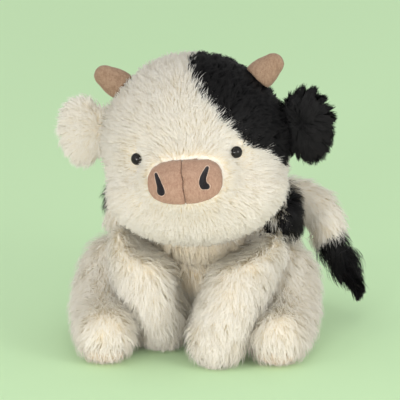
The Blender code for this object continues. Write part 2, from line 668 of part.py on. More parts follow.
def build_foreleg(side, finish, frames, cutters):
    name = SIDE_NAMES[side]
    parent = frames[f"shoulder {name}"]
    reach, foot_side = (
        (LEFT_FORE_REACH, LEFT_FORE_FOOT_SIDE) if side == LEFT else (RIGHT_FORE_REACH, RIGHT_FORE_FOOT_SIDE)
    )
    inward = side * (foot_side - SHOULDER_SPACING / 2)
    drop = SHOULDER_HEIGHT - FORE_FOOT_RADIUS + FLAT_DEPTH
    end = Vector((inward, -reach, -drop))
    bow = Vector((0, -FORE_BOW, 0))
    start_share, end_share = FORE_KNEE_SHARES
    route = Route(end * start_share + bow, end * end_share + bow, end, (1, 0, 0))
    radii = (FORE_ROOT_RADIUS, FORE_MIDDLE_RADIUS, FORE_FOOT_RADIUS)
    build_limb(f"foreleg_{name}", parent, route, radii, finish, 14, cutters)
    room = limb_form(route, radii, 14, BED_GAP)
    return [
        cutter(f"foreleg bed {name}", room, parent),
        cutter(f"shoulder socket {name}", ball_room(FORE_ROOT_RADIUS, SHOULDER_CLEARANCE), parent),
    ]


def build_hindleg(side, finish, frames, cutters):
    name = SIDE_NAMES[side]
    parent = frames[f"hip {name}"]
    reach, foot_side = (
        (LEFT_HIND_REACH, LEFT_HIND_FOOT_SIDE) if side == LEFT else (RIGHT_HIND_REACH, RIGHT_HIND_FOOT_SIDE)
    )
    drop = HIP_HEIGHT - HIND_FOOT_RADIUS + FLAT_DEPTH
    end = Vector((side * (foot_side - HIP_SPACING / 2) - HIP_SHIFT, -reach, -drop))
    shin = Vector((side * HIND_SHIN_OUT, 0, 0))
    start_share, end_share = HIND_PULL_SHARES
    start_pull = Vector((0, end.y * start_share, end.z * HIND_SINK_SHARE)) + shin
    end_pull = Vector((end.x, end.y * end_share, end.z)) + shin / 2
    route = Route(start_pull, end_pull, end, (1, 0, 0))
    radii = (HIND_ROOT_RADIUS, HIND_MIDDLE_RADIUS, HIND_FOOT_RADIUS)
    skin = build_limb(f"hindleg_{name}", parent, route, radii, finish, 16, cutters)
    angle = math.radians(SOLE_ANGLE)
    facing = Vector((0, -math.cos(angle), -math.sin(angle)))
    turn = facing.to_track_quat("Z", "Y").to_euler()
    ball = [HIND_FOOT_RADIUS] * 3

    top = HIND_FOOT_RADIUS + OVERRUN
    recess = cutter(f"sole recess {name}", plug([SOLE_RADIUS + SEAM_GAP] * 2, 0, top, 18), parent, end, turn)
    sole = piece(f"sole_{name}", plug([SOLE_RADIUS] * 2, 0, top, 18), finish["tan velour"], parent, end, turn)
    for made, grow in ((recess, SEAM_GAP), (sole, 0.0)):
        behind = [radius - SOLE_THICKNESS - grow for radius in ball]
        behind_form = rounded(behind, 14, 10, turn_share=BACK_TURN_SHARE)
        cut(made, cutter(f"behind {made.name}", behind_form, parent, end))
    cut(skin, recess)
    face_form = rounded(ball, 16, 12, turn_share=LOBE_TURN_SHARE)
    keep_inside(sole, cutter(f"sole face {name}", face_form, parent, end))
    cut(sole, *cutters)
    socket = cutter(f"hip socket {name}", ball_room(HIND_ROOT_RADIUS, sides=20, rings=14), parent)
    return socket, cutter(f"hindleg room {name}", limb_form(route, radii, 16, HAUNCH_CLEARANCE), parent)


def build_tail(finish, frames):
    tail, tuft = frames["tail"], frames["tuft"]
    route = tail_route()
    radii = (TAIL_ROOT_RADIUS, TAIL_MIDDLE_RADIUS, TAIL_END_RADIUS)
    build_limb("tail", tail, route, radii, finish, 14, [], 8)
    room = limb_form(route, radii, 14, BED_GAP, tube_steps=8)
    socket = cutter("tail socket", ball_room(TAIL_ROOT_RADIUS, TAIL_CLEARANCE), tail)
    bed = cutter("tail bed", room, tail)
    angle = math.radians(TUFT_SLANT)
    run = Vector((math.sin(angle), 0, -math.cos(angle))) * TUFT_LENGTH
    tuft_route = Route(run / 3, run * 2 / 3, run, (0, 1, 0))
    radii = (TUFT_ROOT_RADIUS, TUFT_MIDDLE_RADIUS, TUFT_TIP_RADIUS)
    tuft_mesh = limb_form(tuft_route, radii, 12, cap_steps=3, tube_steps=5)
    made = piece("tail_tuft", tuft_mesh, finish["black fur"], tuft)
    cut(made, cutter("tuft socket", ball_room(TAIL_END_RADIUS, STUFFING_GAP), tuft))
    return [socket, bed]


def tail_route():
    start = (TAIL_START_REACH, TAIL_START_BACK, TAIL_START_RISE)
    end = Vector((TAIL_REACH, 0, -TAIL_DROP))
    return Route(start, end + Vector((0, TAIL_END_BACK, TAIL_ARCH)), end, (0, 1, 0))


def joint_frames():
    """Empties on the joints. The body's is at the origin."""
    body = empty("body", (0, 0, 0))
    neck = empty("neck", (0, -NECK_FORWARD, NECK_HEIGHT), body)
    head = empty("head", (0, -SKULL_FORWARD, SKULL_LIFT), neck, (0, math.radians(HEAD_TILT), 0))
    tail = empty("tail", (TAIL_ROOT_SIDE, TAIL_ROOT_BACK, TAIL_ROOT_HEIGHT), body)
    frames = {"body": body, "neck": neck, "head": head, "tail": tail}
    frames["tuft"] = empty("tuft", tail_route().points[-1], tail)
    for side, name in SIDE_NAMES.items():
        ear_lift = LEFT_EAR_LIFT if side == LEFT else RIGHT_EAR_LIFT
        ear_place = (side * EAR_SPACING / 2, EAR_BACK, ear_lift)
        shoulder = (side * SHOULDER_SPACING / 2, -SHOULDER_FORWARD, SHOULDER_HEIGHT)
        hip = (side * HIP_SPACING / 2 + HIP_SHIFT, -HIP_FORWARD, HIP_HEIGHT)
        frames[f"ear {name}"] = empty(f"ear {name}", ear_place, head)
        frames[f"shoulder {name}"] = empty(f"shoulder {name}", shoulder, body)
        frames[f"hip {name}"] = empty(f"hip {name}", hip, body)
    return frames


def main():
    for old in list(bpy.data.objects):
        bpy.data.objects.remove(old, do_unlink=True)
    finish = finishes()
    frames = joint_frames()
    body_skin, back_patch, body_stuffing = build_body(finish, frames)
    neck_socket = build_neck(finish, frames)
    skin, patch, stuffing = build_head(finish, frames, neck_socket)
    head_room = head_form("head room", -HEAD_SWING_ROOM, frames["head"], 16)
    leg_room = head_form("head room over the legs", -SHOULDER_ROOM, frames["head"], 18)
    head_outline = head_form("head outline", -SEAM_GAP, frames["head"], 24)
    reach = BODY_WIDTH + OVERRUN
    floor = cutter("floor", box((-reach, -reach, -OVERRUN), (reach, reach, 0)), frames["body"])
    build_nose(finish, frames, skin)
    for side in (LEFT, RIGHT):
        build_eye(side, finish, frames, skin, stuffing)
        build_horn(side, finish, frames, head_outline)
    build_ear(LEFT, "black fur", finish, frames, [patch, skin])
    build_ear(RIGHT, "white fur", finish, frames, [skin])
    beds = [neck_socket, head_room, *build_tail(finish, frames)]
    foreleg_beds = []
    for side in (LEFT, RIGHT):
        hip_socket, hindleg_room = build_hindleg(side, finish, frames, [floor])
        beds.append(hip_socket)
        raised_room = room_for_swing(side, frames, hindleg_room)
        cutters = [floor, leg_room, neck_socket, hindleg_room, raised_room]
        foreleg_beds += build_foreleg(side, finish, frames, cutters)
    for target in (body_skin, body_stuffing):
        cut(target, *beds, *foreleg_beds)
    cut(back_patch, *beds)  # it ends behind the forelegs


main()
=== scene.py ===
import json
import math

import bmesh
import bpy
import numpy as np
from mathutils import Matrix, Vector, noise
from mathutils.bvhtree import BVHTree
from mathutils.kdtree import KDTree


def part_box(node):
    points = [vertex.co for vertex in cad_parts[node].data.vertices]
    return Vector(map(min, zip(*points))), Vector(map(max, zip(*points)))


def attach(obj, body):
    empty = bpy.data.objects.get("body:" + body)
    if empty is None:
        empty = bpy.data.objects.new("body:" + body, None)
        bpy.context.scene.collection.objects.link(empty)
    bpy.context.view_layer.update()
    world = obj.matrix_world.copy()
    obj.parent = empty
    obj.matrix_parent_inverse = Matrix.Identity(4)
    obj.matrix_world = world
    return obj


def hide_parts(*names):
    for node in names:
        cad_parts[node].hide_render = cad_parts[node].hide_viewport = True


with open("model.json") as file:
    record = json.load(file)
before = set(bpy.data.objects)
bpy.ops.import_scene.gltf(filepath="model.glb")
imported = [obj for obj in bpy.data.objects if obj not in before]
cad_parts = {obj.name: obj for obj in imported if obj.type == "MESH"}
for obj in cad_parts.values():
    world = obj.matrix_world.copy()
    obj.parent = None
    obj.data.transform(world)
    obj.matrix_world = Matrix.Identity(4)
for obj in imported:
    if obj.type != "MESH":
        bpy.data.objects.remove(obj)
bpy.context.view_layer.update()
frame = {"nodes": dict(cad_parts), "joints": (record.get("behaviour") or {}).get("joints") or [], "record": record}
nodes = frame["nodes"]
scene = bpy.context.scene
bodies = frame["record"]["behaviour"]["bodies"]
bodyOfNode = {node: body for body, members in bodies.items() for node in members}
hingeOfBody = {joint["child"]: np.array(joint["pos_m"]) for joint in reversed(frame["joints"])}
weldReach = 0.00001  # corners nearer than this become one
print("plush cow: frame loaded")


# Finishes

creamShine = {"roughness": 0.55, "sheen": 0.20, "specular": 0.30, "glow": 0.50}
blackShine = {"roughness": 0.50, "sheen": 0.02, "specular": 0.16, "glow": 0.06}
clothValues = {
    "knit": (700.0, 4.0),  # scale and detail
    "shadeFrom": 0.35, "shadeTo": 0.65,
    "roughness": 0.95, "sheen": 0.3, "specular": 0.2,
    "bumpDepth": 0.0004, "bumpStrength": 0.8,
}
velourValues = {
    "wales": (700.0, 2.0, (1.0, 1.0, 0.35)),  # scale, detail and stretch of the knit's fine ribs
    "pile": (1500.0, 3.0),
    "brushed": (160.0, 3.0),  # blotches where the pile is brushed another way
    "pileShare": 0.5, "brushedShare": 0.15,
    "shadeFrom": 0.40, "shadeTo": 0.60,
    "roughness": 0.85, "sheen": 0.35, "sheenTint": (1.0, 0.86, 0.76), "specular": 0.12,
    "bumpDepth": 0.0005, "bumpStrength": 0.9,
}
eyeFinish = {"grain": 300.0, "shadeFrom": 0.3, "shadeTo": 0.7, "roughness": 0.09, "specular": 0.35}
washerFinish = {"grain": 400.0, "shadeFrom": 0.3, "shadeTo": 0.7, "roughness": 0.45}
satinValues = {
    "roughness": 0.36, "distortion": 0.8,
    "step": 0.00045,  # from one row of thread to the next
    "shadeFrom": 0.2, "shadeTo": 0.8,
    "bumpDepth": 0.0003,
}


def newMaterial(name, colour, finish):
    material = bpy.data.materials.new(name)
    material.use_nodes = True
    shader = material.node_tree.nodes["Principled BSDF"]
    shader.inputs["Base Color"].default_value = (*colour, 1)
    shader.inputs["Roughness"].default_value = finish["roughness"]
    shader.inputs["Sheen Weight"].default_value = finish.get("sheen", 0.0)
    shader.inputs["Sheen Roughness"].default_value = 0.4
    shader.inputs["Specular IOR Level"].default_value = finish.get("specular", 0.5)
    return material, material.node_tree, shader


def ramp(tree, factor, stops):
    made = tree.nodes.new("ShaderNodeValToRGB")
    elements = made.color_ramp.elements
    while len(elements) < len(stops):
        elements.new(0.5)
    for element, (place, colour) in zip(elements, stops):
        element.position = place
        element.color = (*colour, 1)
    tree.links.new(factor, made.inputs["Fac"])
    return made.outputs["Color"]


def noisePattern(tree, scale, detail=2.0, stretch=(1.0, 1.0, 1.0)):
    place = tree.nodes.new("ShaderNodeTexCoord")
    stretching = tree.nodes.new("ShaderNodeMapping")
    stretching.inputs["Scale"].default_value = stretch
    tree.links.new(place.outputs["Object"], stretching.inputs["Vector"])
    made = tree.nodes.new("ShaderNodeTexNoise")
    made.inputs["Scale"].default_value = scale
    made.inputs["Detail"].default_value = detail
    tree.links.new(stretching.outputs["Vector"], made.inputs["Vector"])
    return made.outputs["Fac"]


def blend(tree, first, second, share):
    made = tree.nodes.new("ShaderNodeMix")
    made.inputs["Factor"].default_value = share
    tree.links.new(first, made.inputs["A"])
    tree.links.new(second, made.inputs["B"])
    return made.outputs["Result"]


def multiply(tree, first, second):
    made = tree.nodes.new("ShaderNodeMix")
    made.data_type = "RGBA"
    made.blend_type = "MULTIPLY"
    made.inputs["Factor"].default_value = 1.0
    tree.links.new(first, made.inputs["A"])
    tree.links.new(second, made.inputs["B"])
    return made.outputs["Result"]


def shadeBy(tree, shader, pattern, values, dark, light):
    colour = ramp(tree, pattern, [(values["shadeFrom"], dark), (values["shadeTo"], light)])
    tree.links.new(colour, shader.inputs["Base Color"])


def raiseBy(tree, shader, pattern, values):
    bump = tree.nodes.new("ShaderNodeBump")
    bump.inputs["Distance"].default_value = values["bumpDepth"]
    bump.inputs["Strength"].default_value = values.get("bumpStrength", 1.0)
    tree.links.new(pattern, bump.inputs["Height"])
    tree.links.new(bump.outputs["Normal"], shader.inputs["Normal"])


def furMaterial(name, finish, rootShadeStops, strandStops):
    material, tree, shader = newMaterial(name, rootShadeStops[-1][1], finish)
    uv = tree.nodes.new("ShaderNodeUVMap")
    uv.uv_map = "OFBake"  # U is the strand's own shade, and V runs from its root to its tip
    split = tree.nodes.new("ShaderNodeSeparateXYZ")
    tree.links.new(uv.outputs["UV"], split.inputs["Vector"])
    # Painted shade: the colour darkens from the tip to the root, for the shade deep in the pile, and the tip is
    # lightest
    rootShade = ramp(tree, split.outputs["Y"], rootShadeStops)
    colour = multiply(tree, rootShade, ramp(tree, split.outputs["X"], strandStops))
    tree.links.new(colour, shader.inputs["Base Color"])
    through = tree.nodes.new("ShaderNodeBsdfTranslucent")  # fine hair lets light through
    tree.links.new(colour, through.inputs["Color"])
    mix = tree.nodes.new("ShaderNodeMixShader")
    mix.inputs["Fac"].default_value = finish["glow"]
    tree.links.new(shader.outputs["BSDF"], mix.inputs[1])
    tree.links.new(through.outputs["BSDF"], mix.inputs[2])
    tree.links.new(mix.outputs["Shader"], tree.nodes["Material Output"].inputs["Surface"])
    return material


def clothMaterial(name, dark, light):
    material, tree, shader = newMaterial(name, light, clothValues)
    knit = noisePattern(tree, *clothValues["knit"])
    shadeBy(tree, shader, knit, clothValues, dark, light)
    raiseBy(tree, shader, knit, clothValues)
    return material


def velourMaterial(name, dark, light):
    # Short pile that is brushed in blotches, over the fine wales of its knit
    values = velourValues
    material, tree, shader = newMaterial(name, light, values)
    shader.inputs["Sheen Tint"].default_value = (*values["sheenTint"], 1)
    wales, pile, brushed = (noisePattern(tree, *values[key]) for key in ("wales", "pile", "brushed"))
    fine = blend(tree, wales, pile, values["pileShare"])
    shadeBy(tree, shader, blend(tree, fine, brushed, values["brushedShare"]), values, dark, light)
    raiseBy(tree, shader, fine, values)
    return material


def plasticMaterial(name, dark, light, values):
    material, tree, shader = newMaterial(name, light, values)
    shadeBy(tree, shader, noisePattern(tree, values["grain"]), values, dark, light)
    return material


def satinMaterial(name, dark, light):
    # Rows of thread laid across the nostril
    values = satinValues
    material, tree, shader = newMaterial(name, light, values)
    place = tree.nodes.new("ShaderNodeTexCoord")
    rows = tree.nodes.new("ShaderNodeTexWave")
    rows.bands_direction = "Z"
    rows.inputs["Scale"].default_value = 2 * math.pi / (20 * values["step"])
    rows.inputs["Distortion"].default_value = values["distortion"]
    tree.links.new(place.outputs["Object"], rows.inputs["Vector"])
    shadeBy(tree, shader, rows.outputs["Fac"], values, dark, light)
    raiseBy(tree, shader, rows.outputs["Fac"], values)
    return material


# The first stops of each fur darken it from the tip to the root: painted shade of the deep pile. The second give
# each strand its own tone.
creamFur = furMaterial(
    "cream fur", creamShine,
    [(0.0, (0.95, 0.86, 0.66)), (0.35, (0.985, 0.96, 0.89)), (1.0, (0.995, 0.99, 0.97))],
    [(0.0, (0.97, 0.945, 0.90)), (0.5, (0.995, 0.99, 0.98)), (1.0, (1.0, 1.0, 1.0))],
)
# A darker, warmer copy of the cream fur: painted shade for the chest and neck under the head
shadedChestFur = furMaterial(
    "cream fur with painted chest shade", creamShine,
    [(0.0, (0.93, 0.82, 0.60)), (0.35, (0.97, 0.91, 0.78)), (1.0, (0.99, 0.96, 0.89))],
    [(0.0, (0.96, 0.93, 0.86)), (0.5, (0.99, 0.98, 0.96)), (1.0, (1.0, 1.0, 1.0))],
)
blackFur = furMaterial(
    "black fur", blackShine,
    [(0.0, (0.003, 0.003, 0.0035)), (0.6, (0.007, 0.007, 0.008)), (1.0, (0.016, 0.015, 0.016))],
    [(0.0, (0.5, 0.5, 0.5)), (0.7, (0.9, 0.9, 0.9)), (1.0, (1.0, 1.0, 1.0))],
)
creamBacking = clothMaterial("cream backing cloth", (0.90, 0.83, 0.71), (0.96, 0.92, 0.84))
blackBacking = clothMaterial("black backing cloth", (0.006, 0.006, 0.007), (0.015, 0.015, 0.016))
noseVelour = velourMaterial("tan velour", (0.34, 0.205, 0.145), (0.45, 0.295, 0.215))
# A darker copy of the nose's tan velour: painted shade on the horns
shadedHornVelour = velourMaterial("tan velour darkened with painted horn shade", (0.28, 0.18, 0.12), (0.40, 0.275, 0.19))
lipVelour = velourMaterial("pale velour round the nostrils", (0.50, 0.35, 0.27), (0.66, 0.50, 0.40))
soleVelour = velourMaterial("beige velour of the soles", (0.55, 0.44, 0.33), (0.70, 0.59, 0.46))
eyePlastic = plasticMaterial("glossy eye plastic", (0.004, 0.004, 0.004), (0.012, 0.010, 0.009), eyeFinish)
washerPlastic = plasticMaterial("washer plastic", (0.62, 0.62, 0.58), (0.75, 0.75, 0.71), washerFinish)
blackThread = satinMaterial("black satin thread", (0.006, 0.005, 0.007), (0.030, 0.025, 0.031))


# Making pieces

def newPiece(name, mesh, material, body, parent=None):
    mesh.materials.clear()
    mesh.materials.append(material)
    mesh.shade_smooth()
    made = bpy.data.objects.new(name, mesh)
    scene.collection.objects.link(made)
    made.parent = parent
    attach(made, body)
    return made


def stuffedPiece(name, mesh, material, body, slot, fill, *stoodFor):
    made = newPiece(name, mesh, material, body)
    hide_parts(*stoodFor)
    return made


def meshOf(bm, name):
    mesh = bpy.data.meshes.new(name)
    bm.to_mesh(mesh)
    bm.free()
    return mesh


def formOf(mesh):
    bm = bmesh.new()
    bm.from_mesh(mesh)
    return bm


def copiedNodes(nodeNames):
    bm = bmesh.new()
    for nodeName in nodeNames:
        bm.from_mesh(nodes[nodeName].data)
    bmesh.ops.remove_doubles(bm, verts=bm.verts, dist=weldReach)
    return bm


def treeOf(bm):
    tree = BVHTree.FromBMesh(bm)
    bm.free()
    return tree


def meshFrom(holder):
    # What the holder's modifiers or its curve make, without the holder
    made = bpy.data.meshes.new_from_object(holder.evaluated_get(bpy.context.evaluated_depsgraph_get()))
    bpy.data.objects.remove(holder, do_unlink=True)
    return made


def evaluated(mesh, *steps):
    holder = bpy.data.objects.new("holder", mesh)
    scene.collection.objects.link(holder)
    for kind, values in steps:
        step = holder.modifiers.new(kind.lower(), kind)
        for key, value in values.items():
            setattr(step, key, value)
    return meshFrom(holder)


def smoothForm(bm, times):
    axes = {"use_axis_x": True, "use_axis_y": True, "use_axis_z": True}
    for _ in range(times):
        bmesh.ops.smooth_vert(bm, verts=bm.verts, factor=0.5, **axes)
    bmesh.ops.recalc_face_normals(bm, faces=bm.faces)


def islands(bm):
    left = set(bm.verts)
    found = []
    while left:
        start = left.pop()
        group, reach = [start], [start]
        while reach:
            vert = reach.pop()
            for edge in vert.link_edges:
                other = edge.other_vert(vert)
                if other in left:
                    left.discard(other)
                    group.append(other)
                    reach.append(other)
        found.append(group)
    return found


def largestIsland(mesh, smoothing):
    bm = formOf(mesh)
    groups = sorted(islands(bm), key=len)
    bmesh.ops.delete(bm, geom=[vert for group in groups[:-1] for vert in group], context="VERTS")
    smoothForm(bm, smoothing)
    bm.to_mesh(mesh)
    bm.free()
    return mesh


def insetForm(nodeNames, values):
    # The nodes' outer form as one skin, moved in by the pile's depth
    inset, voxel, smoothing = values.get("depth", 0), values["voxel"], values["smoothing"]
    start = meshOf(copiedNodes(nodeNames), "form")
    remesh = ("REMESH", {"mode": "VOXEL", "voxel_size": voxel})
    outer = largestIsland(evaluated(start, remesh), 2)
    if inset == 0:
        return largestIsland(outer, smoothing)
    inner = evaluated(outer, ("DISPLACE", {"strength": -inset, "mid_level": 0.0}), remesh)
    return largestIsland(inner, smoothing)


def underlay(cloth, field, thickness=0.0008, border=0.003):
    # A thin dark cloth over the part of the form that lies well inside the black fur
    bm = formOf(cloth)
    outside = [face for face in bm.faces if min(field[vert.index] for vert in face.verts) <= border]
    bmesh.ops.delete(bm, geom=outside, context="FACES")
    return evaluated(meshOf(bm, "underlay"), ("SOLIDIFY", {"thickness": thickness, "offset": 1.0}))


def arrays(mesh):
    mesh.calc_loop_triangles()
    co = np.empty(len(mesh.vertices) * 3)
    normal = np.empty(len(mesh.vertices) * 3)
    tri = np.empty(len(mesh.loop_triangles) * 3, int)
    mesh.vertices.foreach_get("co", co)
    mesh.vertices.foreach_get("normal", normal)
    mesh.loop_triangles.foreach_get("vertices", tri)
    return co.reshape(-1, 3), normal.reshape(-1, 3), tri.reshape(-1, 3)


def unit(vectors):
    return vectors / np.maximum(np.linalg.norm(vectors, axis=-1, keepdims=True), 1e-9)


def along(vectors, normal):
    # What of each vector lies in the surface
    return vectors - normal * np.sum(vectors * normal, axis=-1, keepdims=True)


# Fur

furValues = {
    "quickShare": 0.7,
    "floorGap": 0.0007,  # fur that lies on the floor stays this far above it
    "floorSpread": 0.001,
    "farRoom": 0.03,  # a neighbour beyond this doesn't count
    "softRoom": 0.003,  # over this distance past the pile's depth a neighbour presses less and less
    "pressed": {"cover": 0.55, "length": 0.75, "lift": 0.60},  # what is left where a neighbour presses
    "hug": 0.15,  # how much the tips turn back to the cloth
    "bend": 1.4,  # how late along a strand its lock draws it in
    "lockLength": 0.99,
    "lockLift": (0.85, 1.15),
    "lockShade": 0.10,
    "strandTurn": 0.34,
    "strandShort": 0.45,
    "strandLong": 1.1,
    "strandLift": 0.45,
    "strandCurl": 0.12,
    "strandPull": (0.5, 1.0),
    "strandWidth": (0.7, 1.3),
    "strandShade": (0.6, 0.16),  # middle and spread
    "twist": 0.5,
    "coatLean": 0.35,  # how far a strand's own side sways the shading of the coat
    "roundness": 0.22,  # how far a strand's two edges shade to its sides
}
plainPile = {  # what most piles share
    "lift": 0.80, "droop": 0.15, "spread": 0.18, "curl": 0.14, "clump": 0.26, "width": 0.00045, "stray": 1.0,
    "uneven": 0.11, "steps": 4, "smoothing": 4,
}
black = (blackFur, "black_fur")
down = np.array((0.0, 0.0, -1.0))


def treeOfNodes(nodeNames):
    return treeOf(copiedNodes(nodeNames))


def roomOutside(co, normal, body):
    # How far each place is from the next body's solids, straight out of the cloth
    tree = treeOfNodes([node for node in nodes if bodyOfNode[node] != body])
    room = np.full(len(co), furValues["farRoom"])
    for index, (place, outward) in enumerate(zip(co, normal)):
        hit = tree.ray_cast(Vector(place), Vector(outward), furValues["farRoom"])
        if hit[0] is not None:
            room[index] = hit[3]
    return room


def swirl(co, size, angle):
    return np.array([noise.noise(Vector(place) / size) for place in co]) * angle


def turnAbout(vectors, axis, angle):
    cosine, sine = np.cos(angle)[:, None], np.sin(angle)[:, None]
    return vectors * cosine + np.cross(axis, vectors) * sine


def growPaths(root, normal, comb, length, lift, droop, curl, steps):
    places = [root]
    side = np.cross(normal, comb)
    for step in range(1, steps):
        share = (step - 0.5) / (steps - 1)
        rise = (lift * (1 - share) ** 0.8 - furValues["hug"] * share)[:, None]
        sway = (curl * math.sin(share * math.pi * 1.5))[:, None]
        flat = comb * (1 - np.abs(rise) * 0.6)
        heading = unit(flat + normal * rise + down * (droop * share)[:, None] + side * sway)
        places.append(places[-1] + heading * (length / (steps - 1))[:, None])
    return np.stack(places, 1)


def widthAlong(share):
    # Widest near the root's third, and pointed at the tip
    return (0.55 + 0.9 * share - 1.1 * share**2) / 1.5


def ribbons(paths, normal, width, shade, rng):
    count, steps, _ = paths.shape
    heading = np.empty_like(paths)
    heading[:, 1:-1] = paths[:, 2:] - paths[:, :-2]
    heading[:, 0] = paths[:, 1] - paths[:, 0]
    heading[:, -1] = paths[:, -1] - paths[:, -2]
    heading = unit(heading)
    outward = unit(along(np.repeat(normal[:, None], steps, 1), heading))
    side = np.cross(heading, outward)
    twist = rng.uniform(-furValues["twist"], furValues["twist"], count)[:, None, None]
    flat = side * np.cos(twist) + outward * np.sin(twist)
    share = np.linspace(0, 1, steps)
    halfWidth = (width[:, None] * widthAlong(share))[:, :, None]
    left, right = paths - flat * halfWidth, paths + flat * halfWidth
    coat = unit(normal[:, None] + outward * furValues["coatLean"])  # it shades with its cloth
    edge = side * furValues["roundness"]
    leftNormal, rightNormal = unit(coat - edge), unit(coat + edge)
    perStrand = steps * 2 - 1
    co = np.empty((count, perStrand, 3))
    normals = np.empty((count, perStrand, 3))
    for filled, lefts, rights, ends in ((co, left, right, paths), (normals, leftNormal, rightNormal, coat)):
        filled[:, 0:-1:2] = lefts[:, :-1]
        filled[:, 1:-1:2] = rights[:, :-1]
        filled[:, -1] = ends[:, -1]
    corners = []
    for step in range(steps - 2):
        corners += [2 * step, 2 * step + 1, 2 * step + 3, 2 * step + 2]
    corners = np.array(corners + [2 * steps - 4, 2 * steps - 3, 2 * steps - 2])
    sizes = np.array([4] * (steps - 2) + [3])
    vertShare = np.concatenate([np.repeat(share[:-1], 2), share[-1:]])
    loops = (np.arange(count)[:, None] * perStrand + corners).ravel()
    uv = np.empty((count, len(corners), 2))
    uv[:, :, 0] = shade[:, None]
    uv[:, :, 1] = vertShare[corners]
    return co.reshape(-1, 3), normals.reshape(-1, 3), loops, np.tile(sizes, count), uv.reshape(-1, 2)


def ribbonMesh(name, co, normals, loops, sizes, uv):
    mesh = bpy.data.meshes.new(name)
    mesh.vertices.add(len(co))
    mesh.vertices.foreach_set("co", co.ravel())
    mesh.loops.add(len(loops))
    mesh.loops.foreach_set("vertex_index", loops)
    mesh.polygons.add(len(sizes))
    starts = np.concatenate([[0], np.cumsum(sizes)[:-1]])
    mesh.polygons.foreach_set("loop_start", starts)
    mesh.update(calc_edges=True)
    layer = mesh.uv_layers.new(name="OFBake")
    layer.uv.foreach_set("vector", uv.ravel())
    mesh.shade_smooth()
    custom = mesh.attributes.new("custom_normal", "FLOAT_VECTOR", "POINT")
    custom.data.foreach_set("vector", normals.ravel())
    return mesh


def scatter(surface, fields, density, rng):
    co, normal, tri = surface
    corner = co[tri]
    area = np.linalg.norm(np.cross(corner[:, 1] - corner[:, 0], corner[:, 2] - corner[:, 0]), axis=1) / 2
    count = int(area.sum() * density)
    pick = tri[rng.choice(len(tri), count, p=area / area.sum())]
    first, second = np.sqrt(rng.random(count)), rng.random(count)
    weight = np.stack([1 - first, first * (1 - second), first * second], 1)

    def read(values):
        if values.ndim == 1:
            return np.sum(values[pick] * weight, axis=1)
        return np.sum(values[pick] * weight[:, :, None], axis=1)

    return read(co), unit(read(normal)), {key: read(values) for key, values in fields.items()}


def nearestOf(lockRoots, roots):
    tree = KDTree(len(lockRoots))
    for index, place in enumerate(lockRoots):
        tree.insert(place, index)
    tree.balance()
    return np.array([tree.find(place)[1] for place in roots])


def growFur(name, surface, fields, style, keep, seed):
    # Strands in locks: each one starts on the cloth and is drawn to its lock's own path towards the tip
    rng = np.random.default_rng(seed)
    values = furValues
    steps = style["steps"]
    stray = style["stray"]  # how far single strands differ from their lock

    def chosen(density):
        root, normal, field = scatter(surface, fields, density, rng)
        kept = keep(field) & (rng.random(len(root)) < field["cover"])
        return root[kept], normal[kept], {key: value[kept] for key, value in field.items()}

    lockRoot, lockNormal, lockField = chosen(1 / style["lock"] ** 2)
    root, normal, field = chosen(style["density"] * (1.0))
    lockCount, count = len(lockRoot), len(root)
    lock = nearestOf(lockRoot, root)
    lockTurn = rng.normal(0, style["spread"], lockCount)
    lockLength = values["lockLength"] + style["uneven"] * rng.uniform(-1, 1, lockCount)
    lockLift = rng.uniform(*values["lockLift"], lockCount)
    lockCurl = rng.normal(0, style["curl"], lockCount)
    lockShade = rng.normal(0, values["lockShade"], lockCount)

    def paths(place, outward, at, turn, length, lift, curl):
        combed = unit(along(at["comb"], outward) + 1e-6)
        combed = unit(turnAbout(combed, outward, turn))
        reach = style["length"] * at["length"] * length
        rise = style["lift"] * lift * at["lift"]
        return growPaths(place, outward, combed, reach, rise, style["droop"] * at["droop"], curl, steps)

    guide = paths(lockRoot, lockNormal, lockField, lockTurn, lockLength, lockLift, lockCurl)
    liftRange = values["strandLift"] * stray
    own = paths(
        root, normal, field,
        lockTurn[lock] + rng.normal(0, values["strandTurn"] * stray, count),
        lockLength[lock] * rng.uniform(1 - values["strandShort"] * stray, values["strandLong"], count),
        lockLift[lock] * rng.uniform(1 - liftRange, 1 + liftRange, count),
        lockCurl[lock] + rng.normal(0, values["strandCurl"] * stray, count),
    )
    drawn = (style["clump"] * rng.uniform(*values["strandPull"], count))[:, None, None]
    own = own + (guide[lock] - own) * (np.linspace(0, 1, steps) ** values["bend"])[None, :, None] * drawn
    lowest = values["floorGap"] + rng.uniform(0, values["floorSpread"], count)
    own[:, :, 2] = np.maximum(own[:, :, 2], lowest[:, None])
    width = style["width"] * rng.uniform(*values["strandWidth"], count)
    middle, spread = values["strandShade"]
    shade = np.clip(middle + lockShade[lock] + rng.normal(0, spread, count), 0.02, 0.98)
    return ribbonMesh(name, *ribbons(own, normal, width, shade, rng))


def addFur(parent, body, name, surface, fields, style, keep, seed, finish=creamFur, slot="white_fur"):
    newPiece(name, growFur(name, surface, fields, style, keep, seed), finish, body, parent)


def fieldsFor(surface, body, combAt, style=None, swirlSize=0.030, swirlAngle=0.6):
    # What the fur does at each corner of its cloth. Without a style no neighbour presses on it
    co, normal, _ = surface
    comb = unit(along(combAt(co), normal) + 1e-6)
    clear = np.ones(len(co))
    if style:
        clear = np.clip((roomOutside(co, normal, body) - style["depth"]) / furValues["softRoom"], 0, 1)
    fields = {key: left + (1 - left) * clear for key, left in furValues["pressed"].items()}
    fields["comb"] = turnAbout(comb, normal, swirl(co, swirlSize, swirlAngle))
    fields["droop"] = np.ones(len(co))
    return fields


def everywhere(field):
    return np.ones(len(field["cover"]), bool)


def plusSide(field):
    return field["black"] > 0


def minusSide(field):
    return field["black"] <= 0


